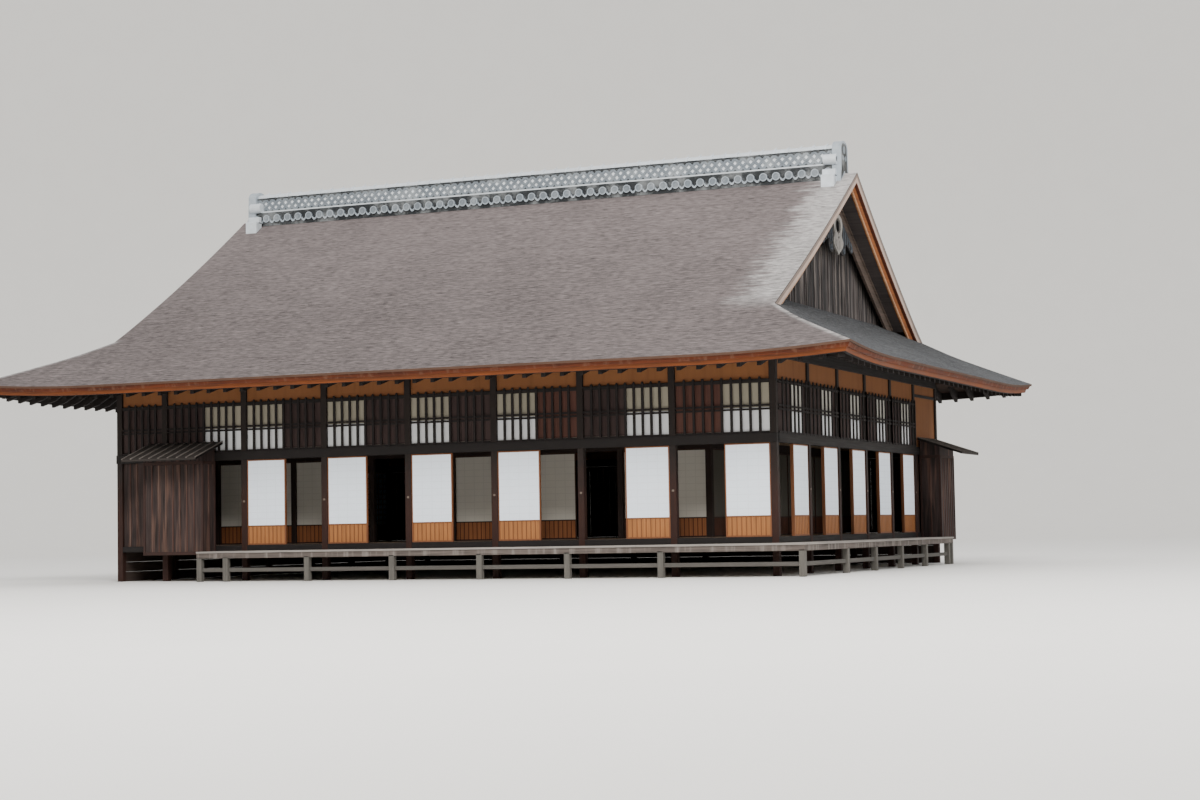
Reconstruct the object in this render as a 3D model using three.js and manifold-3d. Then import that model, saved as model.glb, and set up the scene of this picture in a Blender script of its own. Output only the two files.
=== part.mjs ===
// Timber residence hall with a hip-and-gable shingle roof, a tiled ridge,
// sliding paper doors, an open verandah and two shutter boxes.
// Millimetres, +X along the ridge, +Y to the back, +Z up, origin on the ground
// under the middle of the eaves.

import * as THREE from 'three';
import { mergeVertices } from 'three/addons/utils/BufferGeometryUtils.js';
import Module from 'manifold-3d';

const wasm = await Module();
wasm.setup();

// Plan of the walls, front bays counted from the right corner
const FRONT_BAYS = [2070, 1950, 1900, 1960, 1970, 1950, 1990];
const LEFT_BAY = 1160;
const SIDE_BAY = 2000;
const SIDE_BAYS = 6;
const OVERHANG = 2210;
const BACK_OVERHANG = 910;
const POST = 135;

// Heights of the walls
const DECK = 630;
const FLOOR = 750;
const LINTEL_LOW = 2550;
const LINTEL_HIGH = 2730;
const RAIL_LOW = 3700;
const RAIL_HIGH = 3770;
const PLATE_DEPTH = 200;
const SILL_HALF = 60;
const LINTEL_OUT = 80;
const RAIL_HALF = 50;
const END_RAIL_LOW = 3900;
const END_RAIL_HIGH = 3970;
const SCREEN_HALF = 20;
const FRIEZE_HALF = 30;
const FRIEZE_FRONT = 10;
const FRIEZE_BACK = 50;
const FLOOR_INSET = 60;
const FLOOR_DEPTH = 60;
const SKIRTING_HALF = 15;

// Roof surface: height over the distance from the eave
const EAVE_HEIGHT = 4120;
const EAVE_SLOPE = 0.484;
const SLOPE_GAIN = 0.0000124;
const EAVE_EDGE = 45;
const ROOF_THICKNESS = 220;
const THICKENING_RUN = 600;
const CORNER_LIFT = 134;
const LIFT_LENGTH = 3000;
const LIFT_RUN = 1500;
const SOFFIT_RUN = 2300;
const SOFFIT_START = 210;
const FASCIA_OUT = 30;
const FASCIA_STEP = 110;
const FASCIA_BAND = 118;
const FASCIA_LOW = 190;
const FASCIA_LEAN = 40;
const SOFFIT_BOARD = 25;
const RAFTER_DEPTH = 95;
const HIP_RAFTER_WIDTH = 120;

// Gables
const GABLE_FOOT = 2110;
const VERGE_LEAN_START = 2600;
const VERGE_LEAN = 100;
const VERGE_BOARD_INSET = 80;
const VERGE_BOARD_SLANT = 45;
const VERGE_BOARD = 50;
const VERGE_DEPTH = 385;
const GABLE_WALL_INSET = 600;
const GABLE_WALL = 60;
const BARGEBOARD_INSET = 455;
const BARGEBOARD = 60;
const BARGEBOARD_DEPTH = 335;
const PENDANT = 50;
const PENDANT_TOP = 668;
const PENDANT_OVERLAP = 10;
const GABLE_WALL_FOOT = 60;

// Ridge
const RIDGE_HALF = 7290;
const PLAQUE = 110;

// Screens and doors
const DOOR_WIDTH = 930;
const DOOR_THICKNESS = 36;
const DOOR_TRACK = 28;
const DOOR_SIDE_GAP = 6;
const DOOR_TOP_GAP = 6;
const SLIDE_GAP = 0.5;
const INNER_SETBACK = 2000;
const INNER_POST = 120;
const INNER_BEAM = 104;
const INNER_SCREEN_HALF = 18;

// Verandah and shutter boxes
const DECK_WIDTH = 840;
const DECK_BOARD = 40;
const DECK_BEAM = 108;
const DECK_POST = 120;
const DECK_NOSE = 20;
const DECK_EDGE = 100;
const DECK_TIE = 40;
const TIE_LOW = 200;
const TIE_HIGH = 280;
const DECK_JOIST = 80;
const FRONT_DECK_LEFT = 12500;
const SIDE_DECK_LENGTH = 10350;
const BOX_PROJECTION = 500;
const FRONT_BOX_LENGTH = 1500;
const SIDE_BOX_LENGTH = 1300;
const BOX_LOW = 560;
const BOX_HIGH = 2540;

const GAP = 0.3;

// Places worked out from the sizes above
const frontLength = FRONT_BAYS.reduce((sum, bay) => sum + bay, LEFT_BAY);
const sideLength = SIDE_BAY * SIDE_BAYS;
const wallX = frontLength / 2;
const eaveX = wallX + OVERHANG;
const eaveY = (sideLength + OVERHANG + BACK_OVERHANG) / 2;
const frontY = OVERHANG - eaveY;
const backY = eaveY - BACK_OVERHANG;
const half = POST / 2;

const frontPosts = [wallX];
for (const bay of FRONT_BAYS) {
  frontPosts.push(frontPosts[frontPosts.length - 1] - bay);
}
frontPosts.push(-wallX);
const sidePosts = [];
for (let i = 0; i <= SIDE_BAYS; i += 1) {
  sidePosts.push(frontY + i * SIDE_BAY);
}

// Solids and joins
function toManifold(geometry) {
  const bare = geometry.index ? geometry.clone() : geometry;
  bare.deleteAttribute('normal');
  bare.deleteAttribute('uv');
  const merged = mergeVertices(bare, 0.01);
  const mesh = new wasm.Mesh({
    numProp: 3,
    vertProperties: new Float32Array(merged.attributes.position.array),
    triVerts: new Uint32Array(merged.index.array),
  });
  return new wasm.Manifold(mesh);
}

function toGeometry(solid) {
  const mesh = solid.getMesh();
  const geometry = new THREE.BufferGeometry();
  geometry.setAttribute('position', new THREE.BufferAttribute(mesh.vertProperties, 3));
  geometry.setIndex(new THREE.BufferAttribute(mesh.triVerts, 1));
  geometry.computeVertexNormals();
  return geometry;
}

function box(x0, x1, y0, y1, z0, z1) {
  const geometry = new THREE.BoxGeometry(x1 - x0, y1 - y0, z1 - z0);
  geometry.translate((x0 + x1) / 2, (y0 + y1) / 2, (z0 + z1) / 2);
  return toManifold(geometry);
}

function join(solids) {
  return solids.reduce((sum, solid) => sum.add(solid));
}

function cut(solid, tools) {
  return solid.subtract(join(tools));
}

// A prism from an outline in Y and Z, standing from x0 to x1
function prismAlongX(points, x0, x1) {
  const shape = new THREE.Shape(points.map(([y, z]) => new THREE.Vector2(y, z)));
  const geometry = new THREE.ExtrudeGeometry(shape, { depth: x1 - x0, bevelEnabled: false });
  const turn = new THREE.Matrix4().set(0, 0, 1, x0, 1, 0, 0, 0, 0, 1, 0, 0, 0, 0, 0, 1);
  geometry.applyMatrix4(turn);
  return toManifold(geometry);
}

// A prism from an outline in X and Z, standing from y0 to y1
function prismAlongY(points, y0, y1) {
  const shape = new THREE.Shape(points.map(([x, z]) => new THREE.Vector2(x, z)));
  const geometry = new THREE.ExtrudeGeometry(shape, { depth: y1 - y0, bevelEnabled: false });
  const turn = new THREE.Matrix4().set(1, 0, 0, 0, 0, 0, -1, y1, 0, 1, 0, 0, 0, 0, 0, 1);
  geometry.applyMatrix4(turn);
  return toManifold(geometry);
}

// A closed sweep: each ring is a list of points, and the rings follow each other
function sweep(rings, loop = false) {
  const sides = rings[0].length;
  const positions = rings.flat(2);
  const index = [];
  const spans = loop ? rings.length : rings.length - 1;
  for (let i = 0; i < spans; i += 1) {
    const a = i * sides;
    const b = ((i + 1) % rings.length) * sides;
    for (let k = 0; k < sides; k += 1) {
      const next = (k + 1) % sides;
      index.push(a + k, a + next, b + next, a + k, b + next, b + k);
    }
  }
  if (!loop) {
    const last = (rings.length - 1) * sides;
    for (const [p, q, r] of capTriangles(rings[0])) {
      index.push(r, q, p);
    }
    for (const [p, q, r] of capTriangles(rings[rings.length - 1])) {
      index.push(last + p, last + q, last + r);
    }
  }
  return facingOut(positions, index);
}

// A solid from points and triangles, with its faces turned to point out
function facingOut(positions, index) {
  const geometry = new THREE.BufferGeometry();
  geometry.setAttribute('position', new THREE.Float32BufferAttribute(positions, 3));
  geometry.setIndex(index);
  const solid = toManifold(geometry);
  if (solid.volume() > 0) {
    return solid;
  }
  geometry.setIndex(index.slice().reverse());
  return toManifold(geometry);
}

// Triangles that close the end of a sweep, in the order of its ring
function capTriangles(ring) {
  const outline = flatten(ring);
  const faces = THREE.ShapeUtils.triangulateShape(outline, []);
  const [p, q, r] = faces[0];
  const turn = THREE.ShapeUtils.area([outline[p], outline[q], outline[r]]);
  const follows = Math.sign(turn) === Math.sign(THREE.ShapeUtils.area(outline));
  return follows ? faces : faces.map(([a, b, c]) => [c, b, a]);
}

// A ring of points seen along its thinnest direction, for its end cap
function flatten(ring) {
  const spans = [0, 1, 2].map((axis) => {
    const values = ring.map((point) => point[axis]);
    return Math.max(...values) - Math.min(...values);
  });
  const drop = spans.indexOf(Math.min(...spans));
  const [u, v] = [0, 1, 2].filter((axis) => axis !== drop);
  return ring.map((point) => new THREE.Vector2(point[u], point[v]));
}

// Roof surface
function roofHeight(d) {
  return EAVE_HEIGHT + EAVE_SLOPE * d + SLOPE_GAIN * d * d;
}

function roofDistance(z) {
  const rise = z - EAVE_HEIGHT;
  const root = Math.sqrt(EAVE_SLOPE * EAVE_SLOPE + 4 * SLOPE_GAIN * rise);
  return (root - EAVE_SLOPE) / (2 * SLOPE_GAIN);
}

function lift(d, fromHip) {
  const along = Math.max(0, 1 - Math.max(0, fromHip) / LIFT_LENGTH);
  const up = Math.max(0, 1 - d / LIFT_RUN);
  return CORNER_LIFT * along * along * up;
}

function thickness(d) {
  const share = Math.min(1, d / THICKENING_RUN);
  return EAVE_EDGE + (ROOF_THICKNESS - EAVE_EDGE) * share;
}

function vergeX(d) {
  const lean = Math.max(0, (d - VERGE_LEAN_START) / (eaveY - VERGE_LEAN_START));
  return eaveX - GABLE_FOOT + VERGE_LEAN * lean;
}

// The four sides of the roof: how a distance from the eave and a place along it
// turn into X and Y
const sides = {
  front: { halfLength: eaveX, place: (along, d) => [along, d - eaveY] },
  right: { halfLength: eaveY, place: (along, d) => [eaveX - d, along] },
  back: { halfLength: eaveX, place: (along, d) => [-along, eaveY - d] },
  left: { halfLength: eaveY, place: (along, d) => [d - eaveX, -along] },
};

const ALONG_STEPS = 14;
function spread(i) {
  return Math.sin((i / ALONG_STEPS - 0.5) * Math.PI);
}

// A slab under the roof surface. Each row has its distance, its half length,
// and how far its upper and its lower face lie under the shingles
function slab(side, rows) {
  const upper = [];
  const lower = [];
  for (let i = 0; i <= ALONG_STEPS; i += 1) {
    const point = (row, drop) => {
      const along = spread(i) * row.reach;
      const hip = side.halfLength - row.d;
      const [x, y] = side.place(along, row.d);
      return [x, y, roofHeight(row.d) + lift(row.d, hip - Math.abs(along)) - drop];
    };
    upper.push(rows.map((row) => point(row, row.top)));
    lower.push(rows.map((row) => point(row, row.low)));
  }
  return gridSolid(upper, lower);
}

// A closed solid between an upper and a lower grid of points. Both grids have
// their diagonals the same way, so that stacked slabs follow each other
function gridSolid(upper, lower) {
  const columns = upper.length;
  const count = upper[0].length;
  const at = (level, i, r) => (level * columns + i) * count + r;
  const index = [];
  const quad = (a, b, c, d) => index.push(a, b, c, a, c, d);
  const far = columns - 1;
  const last = count - 1;
  for (let i = 0; i < far; i += 1) {
    for (let r = 0; r < last; r += 1) {
      quad(at(0, i, r), at(0, i + 1, r), at(0, i + 1, r + 1), at(0, i, r + 1));
      quad(at(1, i + 1, r + 1), at(1, i + 1, r), at(1, i, r), at(1, i, r + 1));
    }
    quad(at(1, i, 0), at(1, i + 1, 0), at(0, i + 1, 0), at(0, i, 0));
    quad(at(0, i, last), at(0, i + 1, last), at(1, i + 1, last), at(1, i, last));
  }
  for (let r = 0; r < last; r += 1) {
    quad(at(0, 0, r), at(0, 0, r + 1), at(1, 0, r + 1), at(1, 0, r));
    quad(at(1, far, r), at(1, far, r + 1), at(0, far, r + 1), at(0, far, r));
  }
  return facingOut([...upper, ...lower].flat(2), index);
}

// Rows shared by the slabs, so that they follow each other closely
const LOW_ROWS = [0, FASCIA_OUT, FASCIA_STEP, SOFFIT_START, THICKENING_RUN, 1000, LIFT_RUN];

// Rows of the main slopes beside the gables, up to the ridge
const GABLE_STEPS = 6;
const gableRows = [];
for (let i = 0; i < GABLE_STEPS; i += 1) {
  gableRows.push(VERGE_LEAN_START + ((eaveY - VERGE_LEAN_START) * i) / GABLE_STEPS);
}

// Front and back slopes, from the eave to the ridge
function mainSlope(side) {
  const distances = [...LOW_ROWS, GABLE_FOOT, ...gableRows, eaveY - GAP];
  const rows = distances.map((d) => ({
    d,
    reach: d <= GABLE_FOOT ? eaveX - d - GAP : vergeX(d),
    top: 0,
    low: thickness(d),
  }));
  return slab(side, rows);
}

// Right and left skirts, from the eave to the gable wall
function skirtRows(low) {
  const gableWallRun = GABLE_FOOT + GABLE_WALL_INSET;
  const rows = LOW_ROWS.map((d) => ({ d, reach: eaveY - d - GAP, top: 0, low: low(d) }));
  rows.push({ d: GABLE_FOOT - 0.5, reach: eaveY - GABLE_FOOT, top: 0, low: low(GABLE_FOOT) });
  for (const d of [GABLE_FOOT - 0.1, (GABLE_FOOT + gableWallRun) / 2, gableWallRun - GAP]) {
    const under = roofDistance(roofHeight(d) + ROOF_THICKNESS + 1);
    rows.push({ d, reach: eaveY - under, top: 0, low: low(d) });
  }
  return rows;
}

function skirt(side) {
  return slab(side, skirtRows(thickness));
}

const CUTTER_ROWS = [LIFT_RUN, GABLE_FOOT, 2400, 2760];
const CUTTER_DEPTH = 1500;

// All that lies below the skirt beside a gable, for boards that end on it
function skirtCutter(side) {
  const rows = CUTTER_ROWS.map((d) => ({
    d,
    reach: eaveY,
    top: -SLIDE_GAP,
    low: CUTTER_DEPTH,
  }));
  return slab(side, rows);
}

// Soffit boards under the roof
function soffitLow(d) {
  return thickness(d) + SLIDE_GAP + SOFFIT_BOARD;
}

// Places along a rafter where the roof above it bends
function rafterStations(start, end) {
  const bends = [THICKENING_RUN, LIFT_RUN].filter((d) => d > start && d < end);
  return [start, ...bends, end];
}

// The rafter under a hip, or with room around it the space it takes up
function hipRafter(side, sign, room = 0) {
  const place = (shift, d) => {
    const [x, y] = side.place(sign * (side.halfLength - d), d);
    const across = shift * Math.SQRT1_2;
    return [x + Math.sign(x) * across, y - Math.sign(y) * across];
  };
  const wide = HIP_RAFTER_WIDTH / 2 + room;
  const upper = 6 - room;
  const lower = RAFTER_DEPTH + room;
  const start = SOFFIT_START + HIP_RAFTER_WIDTH / 2 - room;
  const end = SOFFIT_RUN + room;
  const rings = rafterStations(start, end).map((d) => {
    const z = roofHeight(d) + lift(d, 0) - soffitLow(d);
    const spots = [[-wide, upper], [wide, upper], [wide, lower], [-wide, lower]];
    return spots.map(([shift, drop]) => [...place(shift, d), z - drop]);
  });
  return sweep(rings);
}

// Soffit boards, with the closing board that stands on the wall plate
function soffit(side, wallRun, hips) {
  const runs = LOW_ROWS.filter((d) => d > SOFFIT_START);
  const rows = [SOFFIT_START + GAP, ...runs, GABLE_FOOT, SOFFIT_RUN].map((d) => ({
    d,
    reach: side.halfLength - d - GAP,
    top: thickness(d) + SLIDE_GAP,
    low: soffitLow(d),
  }));
  const closing = [wallRun - half, wallRun + half].map((d) => ({
    d,
    reach: side.halfLength - d - GAP,
    top: soffitLow(d) - 8,
    low: soffitLow(d) + RAFTER_DEPTH,
  }));
  const own = join([slab(side, rows), slab(side, closing)]);
  return hips ? join([own, hipRafter(side, 1), hipRafter(side, -1)]) : own;
}

// Two stepped bands of board under the shingle edge, all the way round
function eaveFascia() {
  const top = (d) => [d, roofHeight(d) - thickness(d) - SLIDE_GAP];
  const band = EAVE_HEIGHT - FASCIA_BAND;
  const low = EAVE_HEIGHT - FASCIA_LOW;
  const outline = [
    top(FASCIA_OUT),
    top(FASCIA_STEP),
    top(SOFFIT_START),
    [SOFFIT_START, low],
    [FASCIA_STEP + FASCIA_LEAN / 2, low],
    [FASCIA_STEP, band],
    [FASCIA_OUT + FASCIA_LEAN, band],
  ];
  const rings = [];
  for (const side of [sides.front, sides.right, sides.back, sides.left]) {
    for (let i = 0; i < ALONG_STEPS; i += 1) {
      const ring = outline.map(([d, z]) => {
        const reach = side.halfLength - d;
        const along = spread(i) * reach;
        const [x, y] = side.place(along, d);
        return [x, y, z + lift(d, reach - Math.abs(along))];
      });
      rings.push(ring);
    }
  }
  return sweep(rings, true);
}

// Gables: an upside-down V that follows the roof, from an outline in X and drop
function gableStrip(sign, outline) {
  const rise = gableRows.map((d) => [d, -1]);
  const fall = gableRows.map((d) => [d, 1]).reverse();
  const rings = [...rise, [eaveY, 1], ...fall].map(([d, turn]) => (
    outline(d).map(([x, drop]) => [sign * x, turn * (eaveY - d), roofHeight(d) - drop])
  ));
  return sweep(rings);
}

const gableWallX = eaveX - GABLE_FOOT - GABLE_WALL_INSET;
const bargeboardX = eaveX - GABLE_FOOT - BARGEBOARD_INSET;

function vergeBoards(sign, cutter) {
  const inner = gableWallX + GAP;
  const strip = gableStrip(sign, (d) => {
    const outer = vergeX(d) - VERGE_BOARD_INSET;
    const foot = outer - VERGE_BOARD_SLANT;
    return [
      [outer, ROOF_THICKNESS + SLIDE_GAP],
      [foot, VERGE_DEPTH],
      [inner, VERGE_DEPTH],
      [inner, VERGE_DEPTH - SOFFIT_BOARD],
      [foot - VERGE_BOARD, VERGE_DEPTH - SOFFIT_BOARD],
      [outer - VERGE_BOARD, ROOF_THICKNESS + SLIDE_GAP],
    ];
  });
  return strip.subtract(cutter);
}

// Half of the pendant's outline below its top, as curves that each end at the last pair
const PENDANT_CURVES = [
  [[1120, 740]],
  [[1150, 890], [1000, 970], [850, 940]],
  [[700, 890], [620, 800]],
  [[600, 1010], [500, 1090], [380, 1080]],
  [[260, 1070], [180, 970]],
  [[110, 1030], [0, 1090]],
];
const PENDANT_STEPS = 4;

// Carved pendant at the peak: its fins follow the bargeboards down
function pendant(sign) {
  const top = roofHeight(eaveY) - PENDANT_TOP;
  const outline = new THREE.Shape();
  outline.moveTo(0, top);
  for (const pairs of PENDANT_CURVES) {
    const places = pairs.flatMap(([y, drop]) => [y, top - drop]);
    if (pairs.length === 1) {
      outline.lineTo(...places);
    } else if (pairs.length === 2) {
      outline.quadraticCurveTo(...places);
    } else {
      outline.bezierCurveTo(...places);
    }
  }
  const half = outline.getPoints(PENDANT_STEPS).map((p) => [p.x, p.y]);
  const mirrored = half.slice(1, -1).reverse().map(([y, z]) => [-y, z]);
  const points = [...half, ...mirrored];
  const near = bargeboardX + BARGEBOARD - PENDANT_OVERLAP;
  const far = near + PENDANT_OVERLAP + PENDANT;
  return sign > 0 ? prismAlongX(points, near, far) : prismAlongX(points, -far, -near);
}

function bargeboards(sign, cutter) {
  const strip = gableStrip(sign, () => [
    [bargeboardX, VERGE_DEPTH + SLIDE_GAP],
    [bargeboardX + BARGEBOARD, VERGE_DEPTH + SLIDE_GAP],
    [bargeboardX + BARGEBOARD, VERGE_DEPTH + BARGEBOARD_DEPTH],
    [bargeboardX, VERGE_DEPTH + BARGEBOARD_DEPTH],
  ]);
  return join([strip, pendant(sign)]).subtract(cutter);
}

function gableWall(sign) {
  const bottom = roofHeight(GABLE_FOOT + GABLE_WALL_INSET) - ROOF_THICKNESS;
  const foot = roofDistance(bottom + ROOF_THICKNESS + GABLE_WALL_FOOT);
  const rise = [foot, ...gableRows.filter((d) => d > foot)];
  const edge = (d, turn) => [turn * (eaveY - d), roofHeight(d) - ROOF_THICKNESS - SLIDE_GAP];
  const points = [
    [eaveY - foot, bottom],
    [foot - eaveY, bottom],
    ...rise.map((d) => edge(d, -1)),
    edge(eaveY, 1),
    ...rise.reverse().map((d) => edge(d, 1)),
  ];
  const outer = sign * gableWallX;
  const inner = sign * (gableWallX - GABLE_WALL);
  return prismAlongX(points, Math.min(outer, inner), Math.max(outer, inner));
}

// Ridge of tiles: a base that sits astride the slopes, a band and a round cap
const ridgeTop = roofHeight(eaveY);
const RIDGE_BASE_HALF = 230;
const RIDGE_BASE_TOP = ridgeTop + 170;
const RIDGE_BODY_HALF = 165;
const RIDGE_BODY_TOP = ridgeTop + 520;
const RIDGE_CAP_HALF = 125;
const RIDGE_CAP_RISE = 110;
const RIDGE_CAP_EDGE = 20;
const RIDGE_CAP_FOOT = 35;
const RIDGE_CAP_STEPS = 8;

// Top of the shingles near the ridge, on the last flat stretch of each slope
function slopeTop(y) {
  const last = gableRows[GABLE_STEPS - 1];
  const share = Math.abs(y) / (eaveY - last);
  return ridgeTop + (roofHeight(last) - ridgeTop) * share + GAP;
}

function ridgeBase() {
  const points = [
    [-RIDGE_BASE_HALF, slopeTop(RIDGE_BASE_HALF)],
    [0, slopeTop(0)],
    [RIDGE_BASE_HALF, slopeTop(RIDGE_BASE_HALF)],
    [RIDGE_BASE_HALF, RIDGE_BASE_TOP],
    [-RIDGE_BASE_HALF, RIDGE_BASE_TOP],
  ];
  return prismAlongX(points, -RIDGE_HALF, RIDGE_HALF);
}

function ridgeCap() {
  const edge = RIDGE_BODY_HALF + RIDGE_CAP_EDGE;
  const points = [[-edge, RIDGE_BODY_TOP], [edge, RIDGE_BODY_TOP]];
  for (let i = 0; i <= RIDGE_CAP_STEPS; i += 1) {
    const angle = (Math.PI * i) / RIDGE_CAP_STEPS;
    const z = RIDGE_BODY_TOP + RIDGE_CAP_FOOT + RIDGE_CAP_RISE * Math.sin(angle);
    points.push([RIDGE_CAP_HALF * Math.cos(angle), z]);
  }
  return prismAlongX(points, -RIDGE_HALF, RIDGE_HALF);
}

const PLAQUE_HALF = 250;
const PLAQUE_ARCH = 170;
const PLAQUE_SPRING = 10;
const PLAQUE_STEPS = 10;
const PLAQUE_FOOT = [[290, 60], [400, -60], [520, -170]];

// End plaque with a round top and a stepped foot on each slope
function ridgePlaque(sign) {
  const spring = RIDGE_BODY_TOP + PLAQUE_SPRING;
  const outline = [];
  for (let i = 0; i <= PLAQUE_STEPS; i += 1) {
    const angle = (Math.PI * i) / PLAQUE_STEPS;
    outline.push([PLAQUE_HALF * Math.cos(angle), spring + PLAQUE_ARCH * Math.sin(angle)]);
  }
  const [foot] = PLAQUE_FOOT.at(-1);
  outline.push(...PLAQUE_FOOT.map(([y, rise]) => [-y, ridgeTop + rise]));
  outline.push([-foot, slopeTop(foot)]);
  outline.push([0, slopeTop(0)]);
  outline.push([foot, slopeTop(foot)]);
  outline.push(...PLAQUE_FOOT.map(([y, rise]) => [y, ridgeTop + rise]).reverse());
  const near = RIDGE_HALF + GAP;
  const far = near + PLAQUE;
  return sign > 0 ? prismAlongX(outline, near, far) : prismAlongX(outline, -far, -near);
}

// Wall frames
function underRafters(d) {
  return roofHeight(d) - thickness(d) - SLIDE_GAP - SOFFIT_BOARD - RAFTER_DEPTH - GAP;
}

const plateHigh = underRafters(OVERHANG - half);
const plateLow = plateHigh - PLATE_DEPTH;
const backPlateHigh = underRafters(BACK_OVERHANG - half);
const backPlateLow = backPlateHigh - PLATE_DEPTH;
const inside = wallX - half;

function post(x, y, top, size = POST) {
  return box(x - size / 2, x + size / 2, y - size / 2, y + size / 2, 0, top);
}

function frontFrame() {
  const parts = frontPosts.map((x) => post(x, frontY, plateHigh));
  const beam = (out, low, high) => (
    box(-wallX - half, wallX + half, frontY - out, frontY + Math.min(out, half), low, high)
  );
  parts.push(beam(SILL_HALF, DECK, FLOOR));
  parts.push(beam(LINTEL_OUT, LINTEL_LOW, LINTEL_HIGH));
  parts.push(beam(RAIL_HALF, RAIL_LOW, RAIL_HIGH));
  parts.push(beam(half, plateLow, plateHigh));
  return cut(join(parts), [frontScreens(GAP), frontFrieze(GAP), leftBayWall(GAP)]);
}

// Every slab below can be asked for with some room around it, which is what its
// frame is cut by
function panel(x0, x1, y0, y1, z0, z1, room) {
  return box(x0 - room, x1 + room, y0 - room, y1 + room, z0 - room, z1 + room);
}

function frontScreens(room = 0) {
  const near = frontY - SCREEN_HALF;
  return panel(-inside, inside, near, frontY + SCREEN_HALF, LINTEL_HIGH, RAIL_LOW, room);
}

function frontFrieze(room = 0) {
  const near = frontY - FRIEZE_FRONT;
  return panel(-inside, inside, near, frontY + FRIEZE_BACK, RAIL_HIGH, plateLow, room);
}

const lastPost = frontPosts[frontPosts.length - 2];

// Plain boarded wall of the narrow bay behind the front shutter box
function leftBayWall(room = 0) {
  const right = lastPost - half;
  const near = frontY - SCREEN_HALF;
  return panel(-inside, right, near, frontY + SCREEN_HALF, FLOOR, LINTEL_LOW, room);
}

function backFrame() {
  const parts = frontPosts.map((x) => post(x, backY, backPlateHigh));
  const beam = (out, low, high) => (
    box(-wallX - half, wallX + half, backY - Math.min(out, half), backY + out, low, high)
  );
  parts.push(beam(SILL_HALF, DECK, FLOOR));
  parts.push(beam(LINTEL_OUT, LINTEL_LOW, LINTEL_HIGH));
  parts.push(beam(half, backPlateLow, backPlateHigh));
  parts.push(box(-wallX, wallX, backY - SKIRTING_HALF, backY + SKIRTING_HALF, 0, FLOOR));
  return cut(join(parts), [backShutters(GAP), backFrieze(GAP)]);
}

function backShutters(room = 0) {
  const near = backY - SCREEN_HALF;
  return panel(-inside, inside, near, backY + SCREEN_HALF, FLOOR, LINTEL_LOW, room);
}

function backFrieze(room = 0) {
  const near = backY - FRIEZE_HALF;
  return panel(-inside, inside, near, backY + FRIEZE_HALF, LINTEL_HIGH, backPlateLow, room);
}

const sideFront = frontY + half;
const sideBack = backY - half;
const lastSidePost = sidePosts[SIDE_BAYS - 1];

function sideFrame(sign) {
  const x = sign * wallX;
  const parts = sidePosts.slice(1, -1).map((y) => post(x, y, plateHigh));
  const beam = (out, y0, y1, low, high) => {
    const faces = [x + sign * out, x - sign * Math.min(out, half)];
    return box(Math.min(...faces), Math.max(...faces), y0, y1, low, high);
  };
  parts.push(beam(SILL_HALF, sideFront, sideBack, DECK, FLOOR));
  parts.push(beam(LINTEL_OUT, sideFront, sideBack, LINTEL_LOW, LINTEL_HIGH));
  parts.push(beam(RAIL_HALF, sideFront, lastSidePost, RAIL_LOW, RAIL_HIGH));
  parts.push(beam(RAIL_HALF, lastSidePost, sideBack, END_RAIL_LOW, END_RAIL_HIGH));
  parts.push(beam(half, sideFront, lastSidePost + half, plateLow, plateHigh));
  if (sign < 0) {
    parts.push(box(x - SKIRTING_HALF, x + SKIRTING_HALF, sideFront, sideBack, 0, FLOOR));
  }
  const closed = sign < 0 ? leftPanels(GAP) : sideEndWall(GAP);
  return cut(join(parts), [sideScreens(sign, GAP), sideFrieze(sign, GAP), closed]);
}

function sideScreens(sign, room = 0) {
  const x = sign * wallX;
  const back = lastSidePost - half;
  const near = x - SCREEN_HALF;
  return panel(near, x + SCREEN_HALF, sideFront, back, LINTEL_HIGH, RAIL_LOW, room);
}

// Plaster above the screens, and the whole of the last bay up to the rafters
function sideFrieze(sign, room = 0) {
  const x = sign * wallX;
  const high = plateHigh - SLIDE_GAP + room;
  const low = LINTEL_HIGH - room;
  const bend = eaveY - OVERHANG;
  const points = [
    [sideFront - room, RAIL_HIGH - room],
    [lastSidePost + half - room, RAIL_HIGH - room],
    [lastSidePost + half - room, low],
    [sideBack + room, low],
    [sideBack + room, underRafters(eaveY - sideBack) + room],
    [bend, high],
    [lastSidePost + half + GAP - room, high],
    [lastSidePost + half + GAP - room, plateLow - GAP + room],
    [sideFront - room, plateLow - GAP + room],
  ];
  return prismAlongX(points, x - FRIEZE_HALF - room, x + FRIEZE_HALF + room);
}

// Boards that close the last bay of the right side behind its shutter box
function sideEndWall(room = 0) {
  const front = lastSidePost + half;
  const near = wallX - SCREEN_HALF;
  return panel(near, wallX + SCREEN_HALF, front, sideBack, FLOOR, LINTEL_LOW, room);
}

function leftPanels(room = 0) {
  const near = -wallX - SCREEN_HALF;
  return panel(near, SCREEN_HALF - wallX, sideFront, sideBack, FLOOR, LINTEL_LOW, room);
}

// Inner row of posts and screens behind the open corridor
const innerX = frontPosts[1];
const innerY = frontY + INNER_SETBACK;
const innerHalf = INNER_POST / 2;
const innerFloor = FLOOR + GAP;

function innerFrame() {
  const parts = [];
  const stand = (x, y) => (
    box(x - innerHalf, x + innerHalf, y - innerHalf, y + innerHalf, innerFloor, RAIL_HIGH)
  );
  for (const x of frontPosts.slice(1, -1)) {
    parts.push(stand(x, innerY));
  }
  for (const y of sidePosts.slice(2, -1)) {
    parts.push(stand(innerX, y));
  }
  const wide = INNER_BEAM / 2;
  const row = (low, high) => {
    const farX = -inside + GAP;
    parts.push(box(farX, innerX, innerY - wide, innerY + wide, low, high));
    const farY = sideBack - GAP;
    parts.push(box(innerX - wide, innerX + wide, innerY, farY, low, high));
  };
  row(LINTEL_LOW, LINTEL_HIGH);
  row(RAIL_LOW, RAIL_HIGH);
  return cut(join(parts), [innerFrieze(GAP), ...innerScreens(GAP).map(([, solid]) => solid)]);
}

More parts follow.
